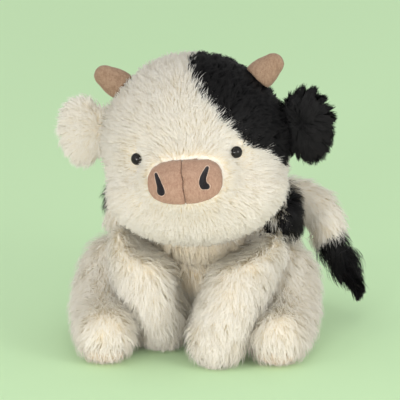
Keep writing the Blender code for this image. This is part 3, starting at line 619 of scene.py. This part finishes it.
def blackField(co, comb, reach, blackNodes, whiteNodes):
    # Above 0 where a strand from here lies nearer to the black fabric's solid
    black, white = treeOfNodes(blackNodes), treeOfNodes(whiteNodes)
    tips = [Vector(place) for place in co + comb * reach]
    return np.array([white.find_nearest(tip)[3] - black.find_nearest(tip)[3] for tip in tips])


def nearHinge(body, co, reach):
    # 1 at the body's hinge, falling to 0 at the reach
    return np.clip(1 - np.linalg.norm(co - hingeOfBody[body], axis=1) / reach, 0, 1)


# Head

headValues = {
    "centre": (0.0, -0.060, 0.164),
    "tilt": -6.0,
    "noseDown": 0.008,  # below the skull's centre
    "noseForward": 0.075,
    "fall": 0.25,  # how much the fur hangs as it spreads from the nose
    "borderReach": 0.009,
    "earBlack": (0.040, 0.022),  # the black patch comes down round the ear's root
    "earReach": 0.034,  # round an ear's root, where the fur fills the groove
    "earRoot": {"comb": 1.5, "length": 0.6, "lift": 0.5},  # how much more it has at the root
    "eyeRadius": 0.0065,  # no fur starts nearer to an eye
    "eyeSoft": 0.010,  # and over this distance it grows to its full length
    "eyeShortest": 0.35,
    "jowlDroop": 1.5,
    "jowlShort": 0.25,
    "noseShortest": (0.80, 0.55),  # above the nose's middle, where it stands over the edge, and below
    "noseGrowth": 0.6,
    "fill": 0.8,
    "pile": {
        **plainPile, "depth": 0.0060, "voxel": 0.0035, "density": 1.08e6, "length": 0.0150, "lift": 0.90,
        "spread": 0.12, "curl": 0.10, "clump": 0.24, "lock": 0.0046, "width": 0.00046,
    },
    "blackPile": {
        **plainPile, "density": 1.5e6, "length": 0.0120, "lift": 1.15, "droop": 0.10, "spread": 0.45,
        "curl": 0.12, "clump": 0.70, "lock": 0.0034, "stray": 0.6,
    },
}
headTilt = Matrix.Rotation(math.radians(headValues["tilt"]), 4, "Y")
headMatrix = Matrix.Translation(headValues["centre"]) @ headTilt


def combHead(co):
    nose = np.array(headMatrix @ Vector((0, -headValues["noseForward"], -headValues["noseDown"])))
    return unit(co - nose) + down * headValues["fall"]


def clearAround(co, fields, nodeName):
    values = headValues
    low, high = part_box(nodeName)
    distance = np.linalg.norm(co - np.array((low + high) / 2), axis=1)
    share = np.clip((distance - values["eyeRadius"]) / values["eyeSoft"], 0, 1)
    fields["cover"] = fields["cover"] * np.where(distance < values["eyeRadius"], 0, 1)
    fields["length"] = fields["length"] * (values["eyeShortest"] + (1 - values["eyeShortest"]) * share)


def fillRootOf(body, co, fields):
    # Longer fur that points along the ear, so that no bare groove shows round its root
    near = nearHinge(body, co, headValues["earReach"])
    more = headValues["earRoot"]
    outwards = np.array((np.sign(hingeOfBody[body][0]), 0, 0))
    fields["comb"] = unit(fields["comb"] + outwards * (near * more["comb"])[:, None])
    for key in ("length", "lift"):
        fields[key] = fields[key] * (1 + more[key] * near)


def outlineSize(across, up, height):
    # 1 on the outline of the nose's pads, and less inside it
    fullness = noseValues["fullness"]
    halfWidth = noseValues["half"][0]
    return (np.abs(across / halfWidth) ** fullness + np.abs(up / height) ** fullness) ** (1 / fullness)


def clearNose(co, fields):
    # No fur behind the nose's pads, and short fur round them
    local = (co - np.array(headMatrix.translation)) @ np.array(headMatrix.to_3x3())
    halfHeight = noseValues["half"][1]
    up = local[:, 2] - noseValues["centre"][2]
    height = np.where(up > 0, halfHeight * (2 * noseValues["topShare"] - 1), halfHeight)
    size = np.where(local[:, 1] < 0, outlineSize(local[:, 0], up, height), 9.0)
    fields["cover"] = np.where(size < 1.0, 0, fields["cover"])
    shortest = np.where(up > 0, *headValues["noseShortest"])
    grown = shortest + (size - 1) * headValues["noseGrowth"]
    fields["length"] = fields["length"] * np.clip(grown, shortest, 1)


def makeHead():
    values = headValues
    solids = ["head_skin", "head_patch", "head_stuffing"]
    cloth = insetForm(solids, values["pile"])
    surface = arrays(cloth)
    co = surface[0]
    fields = fieldsFor(surface, "head", combHead, values["pile"])
    fields["black"] = blackField(co, fields["comb"], values["borderReach"], ["head_patch"], ["head_skin"])
    fields["black"] += values["earBlack"][1] * nearHinge("ear_left", co, values["earBlack"][0])
    fields["front"] = co[:, 1] - values["centre"][1]
    for side in ("left", "right"):
        clearAround(co, fields, f"eye_{side}")
        fillRootOf(f"ear_{side}", co, fields)
    under = np.clip(-surface[1][:, 2] - 0.1, 0, 1)  # the jowls' fur hangs
    fields["droop"] = 1 + values["jowlDroop"] * under
    fields["length"] = fields["length"] * (1 - values["jowlShort"] * under)
    clearNose(co, fields)
    dark = underlay(cloth, fields["black"])
    piece = stuffedPiece("head_cloth", cloth, creamBacking, "head", "white_fur", values["fill"], *solids)
    newPiece("head_cloth_black", dark, blackBacking, "head", piece)

    def onFace(field):
        return minusSide(field) & (field["front"] < 0)

    def onBack(field):
        return minusSide(field) & (field["front"] >= 0)

    addFur(piece, "head", "head_fur_face", surface, fields, values["pile"], onFace, 11)
    addFur(piece, "head", "head_fur_back", surface, fields, values["pile"], onBack, 12)
    addFur(piece, "head", "head_fur_black", surface, fields, values["blackPile"], plusSide, 21, *black)
    print("plush cow: head")


# Body, with its saddle patch, and the neck

bodyValues = {
    "spread": 0.2,  # how much the fur turns outwards as it hangs
    "borderReach": 0.008,
    "borderOut": 0.003,  # how far the saddle's fur comes past its solid
    "chestHeights": (0.045, 0.115),
    "chestHalf": 0.036,  # half of its width
    "chestSoft": (0.02, 0.012),  # over this height and width the chest's fur fades
    "chestLength": 1.6,
    "chestLift": 1.7,
    "chestShare": 0.3,  # from this much on, the fur with painted shade takes over
    "crest": (0.105, 0.6),  # above this height the saddle's fur is this share longer
    "crestSoft": 0.02,
    "fill": 0.7,
    "neckFill": 0.8,
    "saddlePile": {
        **plainPile, "density": 1.6e6, "length": 0.0125, "lift": 1.10, "spread": 0.35, "curl": 0.12,
        "clump": 0.55, "lock": 0.0036, "width": 0.00048, "stray": 0.8,
    },
    "neckPile": {
        **plainPile, "depth": 0.0015, "voxel": 0.0030, "smoothing": 2, "density": 1.3e6, "length": 0.0190,
        "lift": 1.0, "droop": 0.55, "spread": 0.35, "curl": 0.20, "clump": 0.22, "lock": 0.0046,
        "width": 0.00044, "stray": 1.2,
    },
    "pile": {
        **plainPile, "depth": 0.0060, "voxel": 0.0040, "smoothing": 3, "density": 0.88e6, "length": 0.0185,
        "droop": 0.30, "lock": 0.0056, "width": 0.00050,
    },
}


def combBody(co):
    return down + unit(co * np.array((1, 1, 0))) * bodyValues["spread"]


def fillChest(surface, fields, values):
    # The chest's fur stands full between the chin and the forelegs
    co, normal, _ = surface
    low, high = values["chestHeights"]
    softHeight, softWidth = values["chestSoft"]
    heights = np.clip((co[:, 2] - low) / softHeight, 0, 1) * np.clip((high - co[:, 2]) / softHeight, 0, 1)
    widths = np.clip((values["chestHalf"] - np.abs(co[:, 0])) / softWidth, 0, 1)
    chest = np.clip(-normal[:, 1] * 2, 0, 1) * heights * widths
    fields["chest"] = chest
    for key, most in (("cover", 1), ("length", values["chestLength"]), ("lift", values["chestLift"])):
        fields[key] = np.maximum(fields[key], chest * most)


def makeBody():
    values = bodyValues
    style = values["pile"]
    solids = ["body_skin", "back_patch", "body_stuffing", "bean_pouch"]
    cloth = insetForm(solids, style)
    surface = arrays(cloth)
    fields = fieldsFor(surface, "torso", combBody, style)
    reach = values["borderReach"]
    fields["black"] = blackField(surface[0], fields["comb"], reach, ["back_patch"], ["body_skin"])
    fields["black"] += values["borderOut"]
    fillChest(surface, fields, values)
    dark = underlay(cloth, fields["black"])
    piece = stuffedPiece("body_cloth", cloth, creamBacking, "torso", "white_fur", values["fill"], *solids)
    newPiece("body_cloth_black", dark, blackBacking, "torso", piece)

    def offChest(field):
        return minusSide(field) & (field["chest"] < values["chestShare"])

    def onChest(field):
        return minusSide(field) & (field["chest"] >= values["chestShare"])

    addFur(piece, "torso", "body_fur", surface, fields, style, offChest, 31)
    # The chest takes the copy of the fur with painted shade
    addFur(piece, "torso", "chest_fur", surface, fields, style, onChest, 34, shadedChestFur)
    height, growth = values["crest"]
    high = np.clip((surface[0][:, 2] - height) / values["crestSoft"], 0, 1)
    for key in ("length", "lift"):
        fields[key] = fields[key] * (1 + growth * high)
    addFur(piece, "torso", "saddle_fur", surface, fields, values["saddlePile"], plusSide, 32, *black)
    print("plush cow: body")


def makeNeck():
    style = bodyValues["neckPile"]
    wad = insetForm(["neck_wad"], style)
    surface = arrays(wad)
    fields = fieldsFor(surface, "neck", combBody, style)
    fill = bodyValues["neckFill"]
    neck = stuffedPiece("neck_cloth", wad, creamBacking, "neck", "stuffing", fill, "neck_wad")
    # The neck takes the copy of the fur with painted shade
    addFur(neck, "neck", "neck_fur", surface, fields, style, everywhere, 33, shadedChestFur)
    print("plush cow: neck")


# Legs

legValues = {
    "fore": {
        "along": 0.5,  # how much the fur runs down the leg as it hangs
        "pile": {
            **plainPile, "depth": 0.0050, "voxel": 0.0035, "density": 1.25e6, "length": 0.0180,
            "lift": 0.90, "lock": 0.0050,
        },
    },
    "hind": {
        "along": 0.35,
        "pile": {
            **plainPile, "depth": 0.0050, "voxel": 0.0035, "density": 1.2e6, "length": 0.0175,
            "lift": 0.90, "lock": 0.0052,
        },
    },
    "soleGap": 0.0012,  # no fur starts nearer to a sole
    "soleEdge": (0.008, 0.3),  # within this reach it is longer by up to this share, and hangs over the sole
    "fill": 0.8,
    "seeds": {"left": 60, "right": 54},
}


def limbEnd(nodeName, start):
    # The middle of the far end
    corners = np.array([v.co for v in nodes[nodeName].data.vertices])
    distance = np.linalg.norm(corners - start, axis=1)
    return corners[distance > distance.max() * 0.8].mean(0)


def makeLeg(kind, side):
    values = legValues[kind]
    style = values["pile"]
    name = f"{kind}leg_{side}"
    solids = [f"{name}_skin", f"{name}_stuffing"]
    cloth = insetForm(solids, style)
    surface = arrays(cloth)
    start = hingeOfBody[name]
    run = unit(limbEnd(solids[0], start) - start)

    def combLeg(co):
        return run * values["along"] + down

    fields = fieldsFor(surface, name, combLeg, style)
    piece = stuffedPiece(f"{name}_cloth", cloth, creamBacking, name, "white_fur", legValues["fill"], *solids)
    if kind == "hind":
        sole = treeOfNodes([f"sole_{side}"])
        near = np.array([sole.find_nearest(Vector(place))[3] for place in surface[0]])
        reach, longer = legValues["soleEdge"]
        fields["cover"] = np.where(near < legValues["soleGap"], 0, fields["cover"])
        fields["length"] = fields["length"] * (1 + longer * np.clip(1 - near / reach, 0, 1))
    addFur(piece, name, f"{name}_fur", surface, fields, style, everywhere, legValues["seeds"][side])
    print(f"plush cow: {name}")


# Ears

earForm = {"depth": 0.0040, "voxel": 0.0025, "smoothing": 3, "droop": 0.30}
earValues = {
    "swirl": (0.02, 0.4),
    "squeeze": 0.88,  # the gathered root draws the ear towards the head
    "fall": 0.15,
    "fill": 0.4,
    "left": {
        **plainPile, **earForm, "whorl": 0.011, "density": 2.4e6, "length": 0.0135, "spread": 0.30,
        "curl": 0.12, "clump": 0.80, "lock": 0.0034, "width": 0.00046, "stray": 0.6,
    },
    "right": {
        **plainPile, **earForm, "whorl": 0.003, "density": 1.7e6, "length": 0.0120, "spread": 0.14,
        "curl": 0.10, "clump": 0.24, "lock": 0.0045, "width": 0.00044,
    },
}


def makeEar(side, backing, furFinish, slot, seed):
    style = earValues[side]
    name = f"ear_{side}"
    panels = [f"ear_front_{side}", f"ear_back_{side}"]
    cloth = insetForm(panels, style)
    hinge = hingeOfBody[name]
    for vert in cloth.vertices:
        vert.co.x = hinge[0] + (vert.co.x - hinge[0]) * earValues["squeeze"]
    cloth.update()
    surface = arrays(cloth)
    whorl = hinge + np.sign(hinge[0]) * np.array((style["whorl"], 0, 0))  # the fur spreads from here

    def combEar(co):
        return unit(co - whorl) + down * earValues["fall"]

    fields = fieldsFor(surface, name, combEar, None, *earValues["swirl"])
    piece = stuffedPiece(f"{name}_cloth", cloth, backing, name, slot, earValues["fill"], *panels)
    addFur(piece, name, f"{name}_fur", surface, fields, style, everywhere, seed, furFinish, slot)
    print(f"plush cow: {name}")


# Tail and tuft

tailValues = {
    "arcCentre": (0.052, 0.052, 0.060),
    "blackEnd": 0.003,  # this much of the tail has the tuft's colour
    "blackComb": 2,  # there the fur lies along the tuft
    "blackLength": 1.5,  # and is long enough to hide where the tuft is sewn on
    "underlay": 0.0006,
    "fill": 0.8,
    "pile": {
        **plainPile, "depth": 0.0050, "voxel": 0.0030, "density": 1.3e6, "length": 0.0160, "spread": 0.12,
        "curl": 0.08, "clump": 0.28, "lock": 0.0050,
    },
}
tuftValues = {
    "depth": 0.0052, "voxel": 0.0020, "smoothing": 2,  # of the core
    "taper": (0.008, 0.034, 0.75),  # of the core: from here, over this length, by this share
    "tip": (0.059, 1.8),  # the hair ends in a point this far from the hinge, and this steep
    "shortest": 0.20,
    "swirl": (0.02, 0.3),
    "gather": 0.32,  # how much the hair leans to its middle
    "backFace": -0.4,  # no hair on the end that faces the tail
    "fill": 0.3,
    "pile": {
        **plainPile, "density": 6.0e6, "length": 0.0400, "lift": 0.12, "droop": 0.20, "spread": 0.14,
        "curl": 0.12, "clump": 0.88, "lock": 0.0060, "width": 0.00055, "steps": 6, "stray": 0.5,
        "uneven": 0.22,
    },
}


def combTail(co):
    return np.cross(np.array((0.0, 1.0, 0.0)), co - np.array(tailValues["arcCentre"]))


def tuftRun():
    corners = np.array([v.co for v in nodes["tail_tuft"].data.vertices])
    tip = corners[np.argsort(corners[:, 2])[:6]].mean(0)
    return unit(tip - hingeOfBody["tuft"])


def makeTail():
    values = tailValues
    style = values["pile"]
    solids = ["tail_skin", "tail_stuffing"]
    cloth = insetForm(solids, style)
    surface = arrays(cloth)
    fields = fieldsFor(surface, "tail", combTail, style)
    piece = stuffedPiece("tail_cloth", cloth, creamBacking, "tail", "white_fur", values["fill"], *solids)
    run = tuftRun()
    fields["black"] = (surface[0] - hingeOfBody["tuft"]) @ run + values["blackEnd"]
    addFur(piece, "tail", "tail_fur", surface, fields, style, minusSide, 71)
    dark = underlay(cloth, fields["black"], values["underlay"])
    newPiece("tail_cloth_black", dark, blackBacking, "tail", piece)
    fields["comb"] = unit(fields["comb"] + run * values["blackComb"])
    fields["length"] = fields["length"] * values["blackLength"]
    addFur(piece, "tail", "tail_fur_black", surface, fields, style, plusSide, 73, *black)
    print("plush cow: tail")


def makeTuft():
    values = tuftValues
    style = values["pile"]
    joint = hingeOfBody["tuft"]
    run = tuftRun()
    core = insetForm(["tail_tuft"], values)

    def fromAxis(co):
        return (co - joint) - ((co - joint) @ run)[..., None] * run

    start, taperLength, taper = values["taper"]
    for vert in core.vertices:
        place = np.array(vert.co)
        share = min(1.0, max(0.0, ((place - joint) @ run - start) / taperLength))
        vert.co = place - fromAxis(place) * taper * share
    core.update()
    surface = arrays(core)

    def combTuft(co):
        return run - unit(fromAxis(co)) * values["gather"]

    fields = fieldsFor(surface, "tuft", combTuft, None, *values["swirl"])
    fields["cover"] = np.where(surface[1] @ run < values["backFace"], 0.0, 1.0)
    reach = (surface[0] - joint) @ run
    far = np.linalg.norm(fromAxis(surface[0]), axis=1)
    tipReach, tipSlope = values["tip"]
    left = (tipReach - reach - tipSlope * far) / style["length"]
    fields["length"] = np.clip(left, values["shortest"], 1.0)
    tuft = stuffedPiece("tuft_core", core, blackBacking, "tuft", "black_fur", values["fill"], "tail_tuft")
    addFur(tuft, "tuft", "tuft_hair", surface, fields, style, everywhere, 72, *black)
    print("plush cow: tuft")


# Padded velour: nose, horns and soles

def puffed(mesh, pressure, cap, frames=14):
    # Blows the velour up like a filled cushion, by no more than the cap
    holder = bpy.data.objects.new("pad", mesh)
    scene.collection.objects.link(holder)
    cloth = holder.modifiers.new("cloth", "CLOTH")
    cloth.settings.use_pressure = True
    cloth.settings.uniform_pressure_force = pressure
    cloth.settings.quality = 6
    cloth.settings.effector_weights.gravity = 0
    cloth.point_cache.frame_start = 1
    cloth.point_cache.frame_end = frames
    for number in range(1, frames + 1):
        scene.frame_set(number)
    swollen = meshFrom(holder)
    scene.frame_set(1)
    before = arrays(mesh)[0]
    move = arrays(swollen)[0] - before
    size = np.maximum(np.linalg.norm(move, axis=1, keepdims=True), 1e-9)
    swollen.vertices.foreach_set("co", (before + move * np.minimum(1, cap / size)).ravel())
    swollen.update()
    return swollen


def padOf(nodeNames, values):
    return puffed(insetForm(nodeNames, values), values["pressure"], values["cap"])


noseValues = {
    "voxel": 0.0010, "smoothing": 6, "pressure": 4.0, "cap": 0.0008, "fill": 0.7,
    "centre": (0.0, -0.054, -0.00596),  # of the pads, from the skull's centre
    "half": (0.030, 0.0185),
    "fullness": 2.7,
    "crown": 0.0016,  # how far a pad's middle stands out
    "crownWidth": 0.009,
    "seamDepth": 0.0007,
    "seamFill": 0.00025,  # each pad's velour bulges this far into the gap between the two
    "seamWidth": 0.0022,
    "seamSway": 0.0003,
    "swayLength": 0.014,
    "seamSlant": 0.0014,
    "pucker": 0.0005,
    "puckerStep": 0.0030,
    "puckerReach": 0.0050,
    "frontFrom": 0.012,  # only what lies further forward than this is shaped
    "frontSoft": 0.006,
    "topShare": 0.90,  # the fur above covers the rest of the pads' height
}
# Each nostril's middle line across and up the nose, and half its width there
nostrilValues = {
    "left": [
        (0.0191, 0.0084, 0.0011), (0.0175, 0.0055, 0.0017), (0.0160, 0.0024, 0.0020),
        (0.0155, -0.0010, 0.0023), (0.0164, -0.0040, 0.0026), (0.0182, -0.0046, 0.0021),
    ],
    "right": [
        (-0.0215, 0.0064, 0.0010), (-0.0202, 0.0028, 0.0015), (-0.0190, -0.0006, 0.0019),
        (-0.0182, -0.0037, 0.0026), (-0.0182, -0.0062, 0.0030),
    ],
    "ends": ((0.45, 0.88), (0.80, 0.60), (0.98, 0.20)),  # a round end: how far past the line, and how wide
    "stitches": (0.0005, 0.30, 0.0004),  # added to the half width, the relief's share of it, and its lift
    "lip": (0.0011, 0.10, 0.0),
}


def shapeNose(mesh):
    # A crowned pad, drawn in along the middle seam, whose stitches pucker it
    values = noseValues
    local = headMatrix.inverted()
    centre = Vector(values["centre"])
    halfHeight = values["half"][1]
    for vert in mesh.vertices:
        place = local @ vert.co - centre
        across, up = place.x, place.z
        fromEdge = max(0.0, 1 - outlineSize(across, up, halfHeight)) * halfHeight
        edgeShare = min(1.0, fromEdge / values["crownWidth"])
        seamShare = math.exp(-((across / values["seamWidth"]) ** 2))
        puckerShare = math.exp(-((across / values["puckerReach"]) ** 2))
        side = 1 if across > 0 else -1
        wave = math.sin(2 * math.pi * up / values["puckerStep"] + side)
        forward = values["crown"] * math.sin(edgeShare * math.pi / 2)
        forward -= values["seamDepth"] * seamShare + values["pucker"] * puckerShare * (0.5 + 0.5 * wave)
        sway = values["seamSway"] * math.sin(up * 2 * math.pi / values["swayLength"])
        sway -= values["seamSlant"] * max(0.0, up) / halfHeight
        front = min(1.0, max(0.0, -place.y - values["frontFrom"]) / values["frontSoft"])
        lower = (1 - values["topShare"]) * (up + halfHeight)
        closing = -side * values["seamFill"] * seamShare
        place += Vector((sway * puckerShare + closing, -forward * front, -lower))
        vert.co = headMatrix @ (place + centre)
    mesh.update()
    return mesh


def roundedEnds(points):
    ends = []
    for (x, z, half), (nextX, nextZ, _) in ((points[0], points[1]), (points[-1], points[-2])):
        outward = Vector((x - nextX, z - nextZ)).normalized()
        ends.append([
            (x + outward.x * half * far, z + outward.y * half * far, half * share)
            for far, share in nostrilValues["ends"]
        ])
    return ends[0][::-1] + list(points) + ends[1]


def stroke(name, points, grow, relief, raised, tree):
    # A flattened tube along a line that is drawn on the nose
    points = roundedEnds([(across, up, half + grow) for across, up, half in points])
    curve = bpy.data.curves.new(name, "CURVE")
    curve.dimensions = "3D"
    curve.bevel_depth = 1.0
    curve.bevel_resolution = 4
    curve.resolution_u = 8
    curve.use_fill_caps = True
    spline = curve.splines.new("NURBS")
    spline.points.add(len(points) - 1)
    spline.order_u = 3
    spline.use_endpoint_u = True
    for point, (across, up, half) in zip(spline.points, points):
        point.co = (across, 0, up, 1)
        point.radius = half
    holder = bpy.data.objects.new(name, curve)
    scene.collection.objects.link(holder)
    mesh = meshFrom(holder)
    bpy.data.curves.remove(curve)
    bm = formOf(mesh)
    bmesh.ops.remove_doubles(bm, verts=bm.verts, dist=weldReach)
    for cap in [face for face in bm.faces if len(face.verts) > 4]:  # a round end instead of a flat one
        bmesh.ops.poke(bm, faces=[cap])
    bmesh.ops.subdivide_edges(bm, edges=bm.edges, cuts=1, use_grid_fill=True)
    smoothForm(bm, 3)
    towards = headMatrix.to_3x3() @ Vector((0, 1, 0))
    centre = Vector(noseValues["centre"])
    for vert in bm.verts:
        start = headMatrix @ (centre + Vector((vert.co.x, -0.05, vert.co.z)))  # well in front of the nose
        hit = tree.ray_cast(start, towards)[0]
        vert.co = (hit or start) + towards * (vert.co.y * relief - raised)
    bmesh.ops.recalc_face_normals(bm, faces=bm.faces)
    bm.to_mesh(mesh)
    bm.free()
    return mesh


def makeNose():
    pads = {side: shapeNose(padOf([f"nose_pad_{side}"], noseValues)) for side in ("left", "right")}
    for side, pad in pads.items():
        tree = treeOf(formOf(pad))
        values = nostrilValues
        stitches = stroke(f"nostril_stitching_{side}", values[side], *values["stitches"], tree)
        lip = stroke(f"nostril_lip_{side}", values[side], *values["lip"], tree)
        solid = f"nose_pad_{side}"
        fill = noseValues["fill"]
        piece = stuffedPiece(f"nose_velour_{side}", pad, noseVelour, "head", "tan_velour", fill, solid)
        nostril = newPiece(f"nostril_stitching_{side}", stitches, blackThread, "head")
        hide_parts(f"nostril_{side}")
        newPiece(f"nostril_lip_{side}", lip, lipVelour, "head", piece)
    print("plush cow: nose")


hornValues = {"voxel": 0.0012, "smoothing": 6, "pressure": 4.0, "cap": 0.0006, "fill": 0.8}


def makeHorns():
    for side in ("left", "right"):
        solids = [f"horn_{side}", f"horn_stuffing_{side}"]
        horn = padOf(solids, hornValues)
        fill = hornValues["fill"]
        # The horns take the darker velour with painted shade
        stuffedPiece(f"horn_velour_{side}", horn, shadedHornVelour, "head", "tan_velour", fill, *solids)
    print("plush cow: horns")


soleValues = {"voxel": 0.0010, "smoothing": 6, "pressure": 2.0, "cap": 0.0004, "fill": 0.5}


def makeSoles():
    for side in ("left", "right"):
        solid = f"sole_{side}"
        body = f"hindleg_{side}"
        pad = padOf([solid], soleValues)
        fill = soleValues["fill"]
        stuffedPiece(f"sole_velour_{side}", pad, soleVelour, body, "tan_velour", fill, solid)
    print("plush cow: soles")


# Eyes: moulded domes with a rolled rim, on the washers inside the head

eyeValues = {
    "radius": 0.0048, "dome": 0.0038, "rim": 0.0005, "back": 0.0009,
    "rimIn": 0.3,  # how far the rim turns in, as a share of its height
    "backShare": 0.8,  # of the radius, that the flat back has
    "sides": 48, "steps": 12,
}


def middleOf(nodeName):
    bm = copiedNodes([nodeName])
    middle = sum((vert.co for vert in bm.verts), Vector()) / len(bm.verts)
    bm.free()
    return middle


def makeEyes():
    values = eyeValues
    radius, dome, rim, back = values["radius"], values["dome"], values["rim"], values["back"]
    angles = [math.pi / 2 * step / values["steps"] for step in range(values["steps"] + 1)]
    profile = [(radius * math.sin(angle), dome * math.cos(angle)) for angle in angles]
    profile += [(radius - rim * values["rimIn"], -rim), (radius * values["backShare"], -back), (0, -back)]
    for side in ("left", "right"):
        middle, inside = middleOf(f"eye_{side}"), middleOf(f"eye_washer_{side}")
        outward = (middle - inside).normalized()
        apex = max((Vector(v.co) - middle).dot(outward) for v in nodes[f"eye_{side}"].data.vertices)
        foot = middle + outward * (apex - dome)
        bm = bmesh.new()
        line = [bm.verts.new((across, 0, height)) for across, height in profile]
        edges = [bm.edges.new(pair) for pair in zip(line, line[1:])]
        bmesh.ops.spin(bm, geom=line + edges, axis=(0, 0, 1), cent=(0, 0, 0), angle=2 * math.pi,
                       steps=values["sides"], use_merge=True)
        bmesh.ops.remove_doubles(bm, verts=bm.verts, dist=weldReach)
        bmesh.ops.recalc_face_normals(bm, faces=bm.faces)
        bm.transform(Matrix.Translation(foot) @ outward.to_track_quat("Z", "Y").to_matrix().to_4x4())
        eye = newPiece(f"eye_dome_{side}", meshOf(bm, "eye"), eyePlastic, "head")
        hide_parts(f"eye_{side}")
        washer = nodes[f"eye_washer_{side}"].data
        washer.materials.clear()
        washer.materials.append(washerPlastic)
    print("plush cow: eyes")


# Camera, floor and light

studioValues = {
    "azimuth": 7.6,
    "elevation": 15.0,
    "lens": 600.0,
    "target": (0.0, -0.038, 0.1159),
    "pixel": 0.0008,  # of the photograph's 400, at the target
    "floorColour": (0.66, 0.92, 0.57),
    "floorBounce": (0.80, 0.81, 0.70),
    "floorFinish": {"roughness": 0.9, "specular": 0.1},
    "sweepFront": 9.0,  # so far that a camera behind the toy still stands in front of the sweep
    "sweepBack": 9.0,
    "sweepHeight": 1.6,
    "sweepWidth": 18.0,
    "sweepBend": (0.5, 8),  # its radius and steps
    "world": ((1.0, 0.995, 0.97), 0.74),
    "lightAim": (0.0, 0.0, 0.1),
    "lights": [  # name, place, size, power and colour
        ("key", (1.5, -1.25, 0.60), 0.9, 10.5, (1.0, 0.99, 0.955)),
        ("front", (0.1, -2.2, 0.15), 1.2, 11, (1.0, 0.985, 0.95)),
        ("glint", (-0.9, -1.3, 1.15), 0.16, 1.2, (1.0, 1.0, 1.0)),
    ],
    "lowPlace": (-0.45, -2.0, 0.10),
    "lowAim": (0.0, -0.10, 0.004),
    "lowPower": 235.0,
    "lowCone": 10.5,
    "lowSize": 0.25,
    "lowColour": (1.0, 0.99, 0.955),
}


def linked(name, data):
    made = bpy.data.objects.new(name, data)
    scene.collection.objects.link(made)
    return made


def turnTo(thing, place, aim):
    thing.location = place
    thing.rotation_euler = (Vector(place) - Vector(aim)).to_track_quat("Z", "Y").to_euler()


def makeCamera():
    values = studioValues
    data = bpy.data.cameras.new("camera")
    data.lens = values["lens"]
    data.sensor_width = 36.0
    data.clip_start = 0.05
    distance = values["pixel"] * 200 * data.lens / (data.sensor_width / 2)
    azimuth, elevation = math.radians(values["azimuth"]), math.radians(values["elevation"])
    flat = math.cos(elevation)
    towards = Vector((math.sin(azimuth) * flat, -math.cos(azimuth) * flat, math.sin(elevation)))
    camera = linked("camera", data)
    camera.location = Vector(values["target"]) + towards * distance
    camera.rotation_euler = towards.to_track_quat("Z", "Y").to_euler()
    scene.camera = camera


def makeFloor():
    values = studioValues
    bm = bmesh.new()
    back, half = values["sweepBack"], values["sweepWidth"] / 2
    radius, steps = values["sweepBend"]
    profile = [(-values["sweepFront"], 0.0), (back, 0.0)]
    for step in range(1, steps + 1):
        angle = math.pi / 2 * step / steps
        profile.append((back + radius * math.sin(angle), radius - radius * math.cos(angle)))
    profile.append((back + radius, values["sweepHeight"]))
    line = [bm.verts.new((-half, y, z)) for y, z in profile]
    edges = [bm.edges.new(pair) for pair in zip(line, line[1:])]
    made = bmesh.ops.extrude_edge_only(bm, edges=edges)["geom"]
    farSide = [part for part in made if isinstance(part, bmesh.types.BMVert)]
    bmesh.ops.translate(bm, vec=(half * 2, 0, 0), verts=farSide)
    bmesh.ops.recalc_face_normals(bm, faces=bm.faces)
    mesh = meshOf(bm, "floor")
    mesh.shade_smooth()
    material, tree, shader = newMaterial("pale floor", values["floorColour"], values["floorFinish"])
    path = tree.nodes.new("ShaderNodeLightPath")
    colour = tree.nodes.new("ShaderNodeMix")  # the light that it gives back to the toy is nearly white
    colour.data_type = "RGBA"
    colour.inputs["A"].default_value = (*values["floorBounce"], 1)
    colour.inputs["B"].default_value = (*values["floorColour"], 1)
    tree.links.new(path.outputs["Is Camera Ray"], colour.inputs["Factor"])
    tree.links.new(colour.outputs["Result"], shader.inputs["Base Color"])
    mesh.materials.append(material)
    linked("floor", mesh)


def makeLight():
    values = studioValues
    colour, strength = values["world"]
    world = bpy.data.worlds.new("studio")
    world.use_nodes = True
    world.node_tree.nodes["Background"].inputs["Color"].default_value = (*colour, 1)
    world.node_tree.nodes["Background"].inputs["Strength"].default_value = strength
    scene.world = world
    for name, place, size, power, colour in values["lights"]:
        data = bpy.data.lights.new(name, "AREA")
        data.shape = "DISK"
        data.size = size
        data.energy = power
        data.color = colour
        turnTo(linked(name, data), place, values["lightAim"])
    low = bpy.data.lights.new("low fill", "SPOT")  # a narrow soft light on the legs, below the head's shade
    low.energy = values["lowPower"]
    low.color = values["lowColour"]
    low.spot_size = math.radians(values["lowCone"])
    low.spot_blend = 1.0
    low.shadow_soft_size = values["lowSize"]
    turnTo(linked("low fill", low), values["lowPlace"], values["lowAim"])
    scene.view_settings.view_transform = "Standard"


makeCamera()
makeFloor()
makeLight()
makeHead()
makeBody()
makeNeck()
for side in ("left", "right"):
    makeLeg("fore", side)
    makeLeg("hind", side)
makeEar("left", blackBacking, blackFur, "black_fur", 62)
makeEar("right", creamBacking, creamFur, "white_fur", 61)
makeTail()
makeTuft()
makeNose()
makeHorns()
makeEyes()
makeSoles()

print("plush cow: done")
